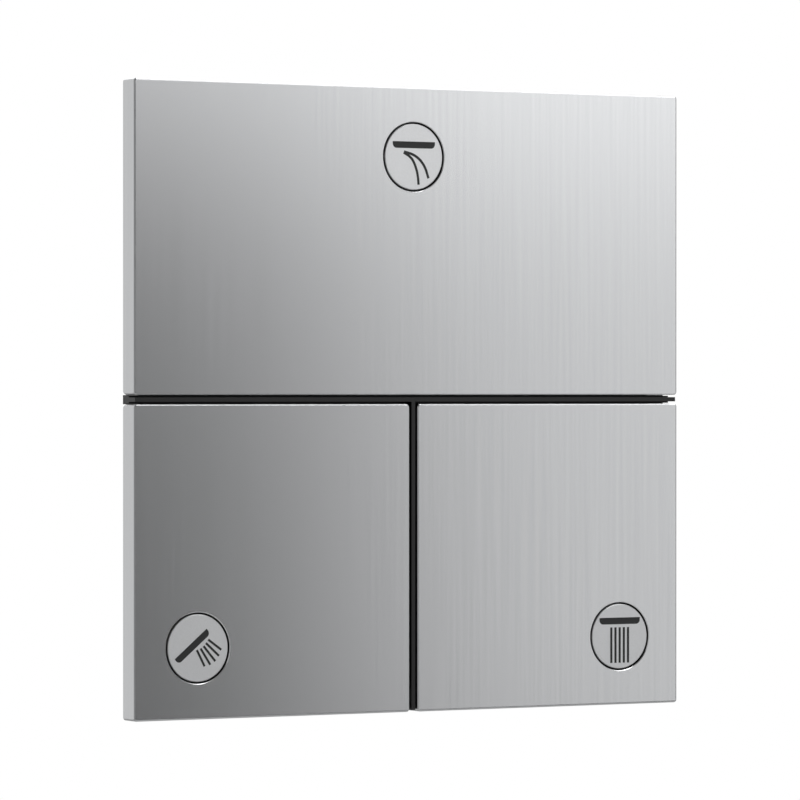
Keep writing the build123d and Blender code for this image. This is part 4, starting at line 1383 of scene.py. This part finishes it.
@dataclass(frozen=True)
class WallCarrier:
    """What stands between the paddles and the concealed body.

    Attributes:
        post_reach: how far the posts stand from the middle.
        upper: height of the upper posts.
        lower: height of the lower posts.
        seal_thickness: thickness of the wall seal.
        flange_front: front face of the carrier's flange.
        raised_front: front face of its raised field.
        post_length: length of a post's hexagon.
        post_flats: size of a post across flats.
        spigot_radius: radius of the spigot in the body's ear.
        spigot_length: length of that spigot.
        bore_radius: radius of a post's bore and of its screw.
        bore_depth: depth of that bore.
        bore_point: length of its drilled point.
        corner_inset: how far the posts' chamfers reach inside the flats.
        edge_break: broken edges of a post.
        carrier_half: half the carrier's side.
        tongue_end: how far out the tongues under the seam bar reach.
        tongue_width: their width.
        tongue_play: their play above and below.
        carrier_edge: softened edges of the carrier.
        seal_edge: softened edges of the seal.
    """

    post_reach: float = 32.0
    upper: float = 26.0
    lower: float = -62.0
    seal_thickness: float = 1.5
    flange_front: float = -3.0
    raised_front: float = -4.6
    post_length: float = 42.5
    post_flats: float = 9.0
    spigot_radius: float = 2.4
    spigot_length: float = 6.0
    bore_radius: float = 1.95
    bore_depth: float = 9.0
    bore_point: float = 0.8
    corner_inset: float = 0.25
    edge_break: float = 0.4
    carrier_half: float = 79.0
    tongue_end: float = 84.3
    tongue_width: float = 2.44
    tongue_play: float = 0.05
    carrier_edge: float = 0.2
    seal_edge: float = 0.35

    def places(self, upper_depth: float, lower_depth: float) -> list[Spatial]:
        """Place the four posts or their screws.

        Args:
            upper_depth: depth of the upper pair.
            lower_depth: depth of the lower pair.

        Returns:
            The four places.
        """
        return [
            (side * self.post_reach, depth, height)
            for side in (-1, 1)
            for depth, height in ((upper_depth, self.upper), (lower_depth, self.lower))
        ]

    def post(self) -> bpy.types.Mesh:
        """Turn one hexagonal post with its screw bore and its spigot.

        Returns:
            Closed mesh in millimetres.
        """
        flats, length, edge = self.post_flats, self.post_length, self.edge_break
        inner = flats / 2 - self.corner_inset
        end = length + self.spigot_length
        return turned(
            [
                Row(0.0, self.bore_depth),
                Row(self.bore_radius, self.bore_depth - self.bore_point),
                Row(self.bore_radius, edge),
                Row(self.bore_radius + edge, 0.0),
                Row(inner, 0.0),
                Row(inner, 0.0, flats, CHAMFER_SLOPE),
                Row(inner, length, flats, -CHAMFER_SLOPE),
                Row(inner, length),
                Row(self.spigot_radius, length),
                Row(self.spigot_radius, end - edge),
                Row(self.spigot_radius - edge, end),
                Row(0.0, end),
            ],
            "post",
            segments=POST_SEGMENTS,
        )

    def bar_supports(self) -> bpy.types.Mesh:
        """Make the tongues that carry the seam bar's ends beyond the carrier's edge.

        Returns:
            Closed mesh, in metres.
        """
        work = bmesh.new()
        length = self.tongue_end - self.carrier_half
        middle = (self.tongue_end + self.carrier_half) / 2
        depth = (self.raised_front + self.flange_front) / 2
        thickness = self.flange_front - self.raised_front - 2 * self.tongue_play
        for centre, size in (
            ((-middle, depth, 0.0), (length, thickness, self.tongue_width)),
            ((middle, depth, 0.0), (length, thickness, self.tongue_width)),
            ((0.0, depth, -middle), (self.tongue_width, thickness, length)),
        ):
            place = Matrix.Translation(Vector(centre) * MM) @ Matrix.Diagonal((*(Vector(size) * MM), 1.0))
            bmesh.ops.create_cube(work, size=1.0, matrix=place)
        return mesh_of(work, "bar_supports")

    def build(self) -> None:
        """Make the carrier, its seal, its posts and its screws, and dress what it holds."""
        supports = new_piece("bar_supports", self.bar_supports(), CARRIER_NYLON)
        settle(supports, "housing", "carrier_plastic")
        carrier = refined("carrier_plate", "wall_carrier", self.carrier_edge, CARRIER_NYLON)
        settle(carrier, "housing", "carrier_plastic", "carrier_plate")
        seal = refined("wall_seal", "foam_seal", self.seal_edge, EPDM_FOAM)
        settle(seal, "housing", "seal_rubber", "wall_seal")
        places = self.places(-self.seal_thickness, -self.seal_thickness)
        posts = repeated("spacer_posts", self.post(), places, INTO_WALL, TURNED_BRASS)
        settle(posts, "housing", "nut_brass", "carrier_posts")
        screw = PanHead(
            head_radius=3.6, head_height=1.5, shank_radius=self.bore_radius, length=10.0, socket=2.5
        ).mesh("carrier_screw")
        places = self.places(self.raised_front, self.flange_front)
        screws = repeated("carrier_pan_heads", screw, places, INTO_WALL, SCREW_STEEL)
        settle(screws, "housing", "screw_steel", "carrier_screws")
        dress("hinge_pins", TURNED_STEEL)
        dress("stop_bumpers", EPDM)


@dataclass(frozen=True)
class ValveUnit:
    """One click valve: what shows of it is dressed in new pieces, the rest keeps its solids.

    Attributes:
        name: the valve's name in the model.
        x: place across the plate.
        z: place up the plate.
        stroke: travel of the plunger.
        nut_front: front face of the cartridge nut.
        nut_flats: its size across flats.
        nut_head: thickness of its hexagon.
        nut_length: its whole length.
        nut_bore: radius of its bore.
        nut_thread: radius of its threaded end.
        nut_inset: how far its chamfer reaches inside the flats.
        neck: how far the neck behind the hexagon steps in, and where it ends.
        thread_start: where the threaded end starts, behind the hexagon.
        thread_break: broken edge of the threaded end.
        bore_break: broken edge of the bore's rear.
        bore_mouth: broken edge of its front.
        coil_radius: mean radius of the return spring.
        wire_radius: radius of its wire.
        coil_turns: number of its turns.
        coil_front: its front end.
        coil_rear: its rear end.
        web_front: face of the cage's web that it stands on.
        collar_rear: face of the spindle's collar that it presses on.
    """

    name: str
    x: float
    z: float
    stroke: float
    nut_front: float = 7.0
    nut_flats: float = 27.0
    nut_head: float = 5.0
    nut_length: float = 11.0
    nut_bore: float = 8.6
    nut_thread: float = 14.15
    nut_inset: float = 0.3
    neck: Flat = (0.4, 0.6)
    thread_start: float = 1.2
    thread_break: float = 0.7
    bore_break: float = 0.4
    bore_mouth: float = 0.5
    coil_radius: float = 3.1
    wire_radius: float = 0.4
    coil_turns: float = 4.5
    coil_front: float = 13.9
    coil_rear: float = 23.55
    web_front: float = 24.0
    collar_rear: float = 13.45

    def nut(self) -> bpy.types.Mesh:
        """Turn the cartridge nut with its chamfered corners and its neck.

        Returns:
            Closed mesh, in metres.
        """
        flats, head, end = self.nut_flats, self.nut_head, self.nut_length
        inner = flats / 2 - self.nut_inset
        step, neck_end = self.neck
        made = turned(
            [
                Row(self.nut_bore + self.bore_mouth, 0.0),
                Row(inner, 0.0),
                Row(inner, 0.0, flats, CHAMFER_SLOPE),
                Row(inner, head, flats),
                Row(inner - step, head),
                Row(inner - step, head + neck_end),
                Row(self.nut_thread, head + self.thread_start),
                Row(self.nut_thread, end - self.thread_break),
                Row(self.nut_thread - self.thread_break, end),
                Row(self.nut_bore + self.bore_break, end),
                Row(self.nut_bore, end - self.bore_break),
                Row(self.nut_bore, self.bore_mouth),
            ],
            f"{self.name}_hex_nut",
        )
        made.transform(Spot((self.x, self.nut_front, self.z), INTO_WALL).matrix)
        return made

    def spring(self) -> bpy.types.Object:
        """Wind the return spring.

        Returns:
            The spring as a piece that still rides on nothing.
        """
        blank = bpy.data.meshes.new(f"{self.name}_coil")
        coil = WIND_SPRING.run(
            new_piece(f"{self.name}_coil", blank),
            Coil_Radius=self.coil_radius,
            Wire_Radius=self.wire_radius,
            Turns=self.coil_turns,
            Height=self.coil_rear - self.coil_front,
            Material=SPRING_WIRE.material(),
        )
        coil.data.transform(Spot((self.x, self.coil_front, self.z), INTO_WALL).matrix)
        return coil

    def build(self) -> None:
        """Make the nut, the cage and the spring, and dress the pieces inside the cage."""
        nut = new_piece(f"{self.name}_hex_nut", self.nut(), TURNED_BRASS)
        settle(nut, "housing", "nut_brass", f"{self.name}_cartridge_nut")
        cage = refined(f"{self.name}_cartridge_cage", f"{self.name}_cage", 0.0, IVORY_POLYPHENYLENE)
        settle(cage, "housing", "cage_plastic", f"{self.name}_cartridge_cage")
        coil = settle(self.spring(), "housing", "spring_steel", f"{self.name}_return_spring")
        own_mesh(coil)
        for part, finish in (
            ("push_cap", WHITE_ACETAL),
            ("push_rod", BLUE_ACETAL),
            ("ratchet_rotor", BLUE_ACETAL),
            ("spindle", TURNED_STEEL),
            ("valve_disc", EPDM),
            ("valve_nut", TURNED_STEEL),
            ("cartridge_seals", EPDM),
        ):
            dress(f"{self.name}_{part}", finish)
        dress(f"{self.name}_paddle_frame", FRAME_ABS)


@dataclass(frozen=True)
class Nipple:
    """One half-inch nipple with its hexagon and its thread.

    Attributes:
        name: the nipple's name in the model.
        spot: where its port's face lies and which way it points.
        crest: radius over the thread's crests.
        thread_depth: depth of the thread.
        pitch: distance from crest to crest.
        bore: radius of the bore.
        washer: thickness of the washer under the hexagon.
        collar: thickness of the hexagon.
        flats: its size across flats.
        corner_inset: how far its chamfers reach inside the flats.
        length: length of the thread.
        insert_radius: radius of the stub in the port.
        insert_length: length of that stub.
        edge_break: broken edges of the stub.
        mouth_break: broken edge of the bore's mouth.
        lead_steps: steps over the thread's tapered start.
        rows_per_pitch: rings of the blank for each pitch.
    """

    name: str
    spot: Spot
    crest: float = 10.45
    thread_depth: float = 1.16
    pitch: float = 1.814
    bore: float = 6.0
    washer: float = 1.0
    collar: float = 3.5
    flats: float = 24.0
    corner_inset: float = 0.3
    length: float = 11.5
    insert_radius: float = 8.5
    insert_length: float = 5.0
    edge_break: float = 0.4
    mouth_break: float = 0.5
    lead_steps: int = 4
    rows_per_pitch: int = 8

    def build(self) -> None:
        """Turn the blank, cut its thread and set it on its port."""
        inner = self.flats / 2 - self.corner_inset
        collar_end = self.washer + self.collar
        end = collar_end + self.length
        lead = self.thread_depth
        step = self.pitch / self.rows_per_pitch
        count = int((end - lead - collar_end) / step)
        tapers = [lead * share / self.lead_steps for share in range(self.lead_steps + 1)]
        stub, edge = self.insert_radius, self.edge_break
        rows = [
            Row(self.bore + edge, -self.insert_length),
            Row(stub - edge, -self.insert_length),
            Row(stub, -self.insert_length + edge),
            Row(stub, self.washer),
            Row(inner, self.washer),
            Row(inner, self.washer, self.flats, CHAMFER_SLOPE),
            Row(inner, collar_end, self.flats, -CHAMFER_SLOPE),
            Row(inner, collar_end),
            *(Row(self.crest, collar_end + step * index) for index in range(count + 1)),
            *(Row(self.crest - taper, end - lead + taper) for taper in tapers),
            Row(self.bore + self.mouth_break, end),
            Row(self.bore, end - self.mouth_break),
            Row(self.bore, -self.insert_length + edge),
        ]
        blank = new_piece(f"{self.name}_threaded", turned(rows, self.name))
        piece = CUT_THREAD.run(
            blank,
            Crest_Radius=self.crest,
            Thread_Depth=self.thread_depth,
            Pitch=self.pitch,
            Start=collar_end,
            Run_Out=self.pitch,
            Material=TURNED_BRASS.material(),
        )
        piece.data.transform(self.spot.matrix)
        piece.data.set_sharp_from_angle(angle=CREASE)
        settle(piece, "housing", "nut_brass", self.name)


@dataclass(frozen=True)
class Manifold:
    """The concealed body with its rear cover and its water connections.

    Attributes:
        tower_front: front face of the valves' towers.
        rear: rear face of the body.
        cover_rear: rear face of the cover.
        port_depth: how far behind the wall's face the ports lie.
        port_step: from a valve's axis to its port's face.
        upper_valve: height of the upper valve.
        lower_valve: height of the lower valves.
        valve_reach: how far the lower valves stand from the middle.
        tower_bore: radius within which a tower is machined.
        screw_ring: from a valve's axis to the cover's screws.
        screw_grip: how deep these reach into the body.
        corner_angle: where the screws of the lower corners sit, in degrees.
        touch: how close a face lies to a plane to count as part of it.
        square: how nearly a face looks along an axis to count as square to it.
        body_edge: softened edges of the casting.
        cover_edge: softened edges of the cover.
    """

    tower_front: float = 12.0
    rear: float = 48.0
    cover_rear: float = 53.0
    port_depth: float = 27.5
    port_step: float = 19.6
    upper_valve: float = 42.0
    lower_valve: float = -38.0
    valve_reach: float = 26.0
    tower_bore: float = 14.3
    screw_ring: float = 15.0
    screw_grip: float = 6.0
    corner_angle: float = 45.0
    touch: float = 0.1
    square: float = 0.99
    body_edge: float = 0.45
    cover_edge: float = 0.5

    def is_machined(self, centre: Vector, normal: Vector) -> bool:
        """Tell whether a face of the body was cut after casting.

        Args:
            centre: the face's centre, in millimetres.
            normal: the way that it looks.

        Returns:
            True for the towers' rims, the rear face, the ports and the bores.
        """
        if self.within_bore(centre):
            return True
        if abs(normal.y) > self.square:
            return abs(centre.y - self.tower_front) < self.touch or centre.y > self.rear - self.touch
        port_face = self.port_step - self.touch
        below = normal.z < -self.square and centre.z < self.lower_valve - port_face
        above = normal.z > self.square and centre.z > self.upper_valve + port_face
        beside = abs(normal.x) > self.square and abs(centre.x) > self.valve_reach + port_face
        return below or above or beside

    def within_bore(self, centre: Vector) -> bool:
        """Tell whether a point lies within a valve's tower.

        Args:
            centre: the point, in millimetres.

        Returns:
            True within the machined radius of one of the three.
        """
        valves = [(hand * self.valve_reach, self.lower_valve) for hand in (-1, 1)]
        valves.append((0.0, self.upper_valve))
        return any(math.hypot(centre.x - x, centre.z - z) < self.tower_bore for x, z in valves)

    def screw_places(self) -> list[Spatial]:
        """Place the cover's screws, outside each valve and along each side.

        Returns:
            The six places.
        """
        rise = self.upper_valve - self.lower_valve
        middle = (self.upper_valve + self.lower_valve) / 2
        length = math.hypot(rise, self.valve_reach)
        across, up = rise / length * self.screw_ring, self.valve_reach / length * self.screw_ring
        corner = self.screw_ring * math.cos(math.radians(self.corner_angle))
        places = [(0.0, self.upper_valve + self.screw_ring), (0.0, self.lower_valve - self.screw_ring)]
        for hand in (-1, 1):
            places.append((hand * (self.valve_reach + corner), self.lower_valve - corner))
            places.append((hand * (self.valve_reach / 2 + across), middle + up))
        return [(x, self.cover_rear, z) for x, z in places]

    def build(self) -> None:
        """Make the body, the cover, the screws, the nipples and the washers."""
        body = refined("manifold_body", "cast_body", self.body_edge, CAST_BRASS, MILLED_BRASS)
        for polygon in body.data.polygons:
            polygon.material_index = int(self.is_machined(polygon.center / MM, polygon.normal))
        settle(body, "housing", "body_brass", "manifold_body")
        gasket = refined("gallery_gasket", "fibre_gasket", 0.0, PRESSED_FIBRE)
        settle(gasket, "housing", "gasket_fibre", "gallery_gasket")
        cover = refined("gallery_cover", "milled_cover", self.cover_edge, MILLED_BRASS)
        settle(cover, "housing", "body_brass", "gallery_cover")
        length = self.cover_rear - self.rear + self.screw_grip
        screw = PanHead(
            head_radius=2.9, head_height=2.0, shank_radius=1.6, length=length, socket=2.0
        ).mesh("cover_screw")
        screws = repeated("cover_pan_heads", screw, self.screw_places(), TO_ROOM, SCREW_STEEL)
        settle(screws, "housing", "screw_steel", "cover_screws")
        washers = refined("nipple_washers", "fibre_washers", 0.0, PRESSED_FIBRE)
        settle(washers, "housing", "gasket_fibre", "nipple_washers")
        depth, reach, step = self.port_depth, self.valve_reach, self.port_step
        for nipple in (
            Nipple("inlet_nipple", Spot((0.0, depth, self.lower_valve - step), (0, 0, -1))),
            Nipple("top_outlet_nipple", Spot((0.0, depth, self.upper_valve + step), (0, 0, 1))),
            Nipple("left_outlet_nipple", Spot((-reach - step, depth, self.lower_valve), (-1, 0, 0))),
            Nipple("right_outlet_nipple", Spot((reach + step, depth, self.lower_valve), (1, 0, 0))),
        ):
            nipple.build()


@dataclass(frozen=True)
class Softbox:
    """A soft lamp.

    Attributes:
        name: its name.
        centre: its centre, in metres.
        aim: the point that it faces, in metres.
        width: width in metres.
        height: height in metres.
        radiance: brightness of its face, where 1 shows as white.
    """

    name: str
    centre: Spatial
    aim: Spatial
    width: float
    height: float
    radiance: float

    def build(self) -> None:
        """Hang the lamp."""
        light = bpy.data.lights.new(self.name, "AREA")
        light.shape = "RECTANGLE"
        light.size = self.width
        light.size_y = self.height
        light.energy = self.radiance * math.pi * self.width * self.height
        lamp = bpy.data.objects.new(self.name, light)
        bpy.context.scene.collection.objects.link(lamp)
        lamp.location = self.centre
        way = Vector(self.aim) - Vector(self.centre)
        lamp.rotation_euler = way.to_track_quat("-Z", "Y").to_euler()
        lamp.visible_camera = False


@dataclass(frozen=True)
class Studio:
    """Floor, backdrop, lamps and camera, in metres.

    Attributes:
        yaw: turn of the camera about the part, in degrees.
        pitch: its tilt, in radians.
        distance: from the plate's face to the camera.
        camera_rise: height of the camera.
        picture_width: width of the picture, in pixels.
        focal_pixels: focal length, in pixels.
        axis_offset: how far the plate's middle stands off the picture's, in pixels.
        sensor: width of the sensor, in millimetres.
        clip_start: nearest that the camera sees.
        clip_end: farthest that it sees.
        floor_height: height of the floor.
        floor_radius: radius of the floor.
        backdrop: brightness that metal mirrors behind the part.
        studio_dark: brightness that it mirrors on the room's side.
        room_side: where the room's side ends, as a share of the way forward.
        wall_side: where the wall's side starts, likewise.
        diffuse_level: brightness all round for matt surfaces.
        lamps: the soft lamps.
    """

    yaw: float = 29.70
    pitch: float = 0.00162
    distance: float = 1.3601
    camera_rise: float = 0.00206
    picture_width: float = 800.0
    focal_pixels: float = 4999.2
    axis_offset: float = 13.96
    sensor: float = 36.0
    clip_start: float = 0.05
    clip_end: float = 20.0
    floor_height: float = -0.8
    floor_radius: float = 1.9
    backdrop: float = 0.86
    studio_dark: float = 0.08
    room_side: float = -0.45
    wall_side: float = 0.1
    diffuse_level: float = 0.45
    lamps: tuple[Softbox, ...] = (
        Softbox("tall_softbox", (0.8, -0.95, 0.2), (0.1, 0.0, 0.0), 0.55, 1.0, 0.95),
        Softbox("high_softbox", (0.62, -0.98, 0.45), (0.1, 0.0, 0.0), 0.6, 0.7, 0.72),
        Softbox("corner_softbox", (0.3, -1.05, 0.5), (0.0, 0.0, 0.0), 0.5, 0.6, 0.94),
        Softbox("front_softbox", (0.0, -1.7, 0.1), (0.0, 0.0, 0.0), 0.9, 0.9, 0.34),
        Softbox("left_softbox", (-0.98, -0.78, 0.1), (0.0, 0.0, 0.0), 0.75, 1.2, 0.38),
        Softbox("overhead_softbox", (0.6, -0.28, 1.0), (0.0, 0.0, 0.0), 0.8, 0.8, 3.2),
        Softbox("rear_softbox", (0.5, 1.5, 0.9), (0.0, 0.0, 0.0), 1.2, 1.2, 0.9),
    )

    def build_world(self) -> None:
        """Paint the surroundings: a white backdrop behind the part and a dim room before it.

        The camera meets plain white all round. What metal mirrors is white behind the part
        and dim on the room's side, as between a lit backdrop and an unlit studio.
        """
        world = bpy.data.worlds.new("studio")
        bpy.context.scene.world = world
        world.use_nodes = True
        tree = world.node_tree
        tree.nodes.clear()
        direction = add_node(tree, "ShaderNodeTexCoord").outputs["Generated"]
        split = add_node(tree, "ShaderNodeSeparateXYZ", None, {0: direction})
        behind = add_node(
            tree,
            "ShaderNodeMapRange",
            {"interpolation_type": "SMOOTHSTEP"},
            {
                "Value": split.outputs["Y"],
                "From Min": self.room_side,
                "From Max": self.wall_side,
                "To Min": self.studio_dark,
                "To Max": self.backdrop,
            },
        )
        path = add_node(tree, "ShaderNodeLightPath")
        soft = add_node(
            tree,
            "ShaderNodeMix",
            {"data_type": "FLOAT"},
            {0: path.outputs["Is Diffuse Ray"], 2: behind.outputs["Result"], 3: self.diffuse_level},
        )
        level = add_node(
            tree,
            "ShaderNodeMix",
            {"data_type": "FLOAT"},
            {0: path.outputs["Is Camera Ray"], 2: soft.outputs[0], 3: 1.0},
        )
        shine = add_node(
            tree, "ShaderNodeBackground", None, {"Color": linear("#FFFFFF"), "Strength": level.outputs[0]}
        )
        add_node(tree, "ShaderNodeOutputWorld", None, {"Surface": shine.outputs[0]})

    def build_floor(self) -> None:
        """Lay the pale floor, which the camera meets as plain white."""
        work = bmesh.new()
        bmesh.ops.create_circle(work, cap_ends=True, radius=self.floor_radius, segments=96)
        bmesh.ops.translate(work, verts=work.verts, vec=(0.0, 0.0, self.floor_height))
        mesh = bpy.data.meshes.new("floor")
        work.to_mesh(mesh)
        work.free()
        floor = new_piece("floor", mesh)
        material = bpy.data.materials.new("pale_floor_paint")
        material.use_nodes = True
        tree = material.node_tree
        tree.nodes.clear()
        path = add_node(tree, "ShaderNodeLightPath")
        paint = add_node(tree, "ShaderNodeBsdfDiffuse", None, {"Color": linear("#D9D9D9")})
        glow = add_node(tree, "ShaderNodeEmission", None, {"Strength": 1.0})
        both = add_node(
            tree,
            "ShaderNodeMixShader",
            None,
            {0: path.outputs["Is Camera Ray"], 1: paint.outputs[0], 2: glow.outputs[0]},
        )
        add_node(tree, "ShaderNodeOutputMaterial", None, {"Surface": both.outputs[0]})
        mesh.materials.append(material)

    def build_camera(self) -> None:
        """Set up the camera at the photograph's viewing angle."""
        data = bpy.data.cameras.new("camera")
        data.sensor_width = self.sensor
        data.lens = self.focal_pixels / self.picture_width * self.sensor
        data.clip_start = self.clip_start
        data.clip_end = self.clip_end
        camera = bpy.data.objects.new("camera", data)
        bpy.context.scene.collection.objects.link(camera)
        bpy.context.scene.camera = camera
        yaw = math.radians(self.yaw)
        camera.location = (
            -self.distance * math.sin(yaw),
            FACE_FRONT * MM - self.distance * math.cos(yaw),
            self.camera_rise,
        )
        heading = yaw - math.atan(self.axis_offset / self.focal_pixels)
        way = Vector((math.sin(heading), math.cos(heading), -math.tan(self.pitch)))
        camera.rotation_euler = way.to_track_quat("-Z", "Y").to_euler()

    def build(self) -> None:
        """Build the whole studio."""
        bpy.context.scene.view_settings.view_transform = "Standard"
        self.build_world()
        self.build_floor()
        self.build_camera()
        for lamp in self.lamps:
            lamp.build()


PADDLES = (
    PaddleFace("top", -PLATE_HALF, PLATE_HALF, 1, 0.0, Symbol.SPOUT),
    PaddleFace("left", -PLATE_HALF, -SEAM_HALF, -1, -66.0, Symbol.HAND_SHOWER),
    PaddleFace("right", SEAM_HALF, PLATE_HALF, -1, 66.0, Symbol.RAIN_SHOWER),
)
VALVES = (
    ValveUnit("top", 0.0, 42.0, 1.9),
    ValveUnit("left", -26.0, -38.0, 1.68),
    ValveUnit("right", 26.0, -38.0, 1.68),
)


def main() -> None:
    """Build the part's sub-assemblies and the studio round them."""
    logging.basicConfig(level=logging.INFO, format="%(message)s")
    for part in (*PADDLES, SeamBar(), WallCarrier(), *VALVES, Manifold(), Studio()):
        part.build()
        LOG.info("%s is built", type(part).__name__)


if __name__ == "__main__":
    main()
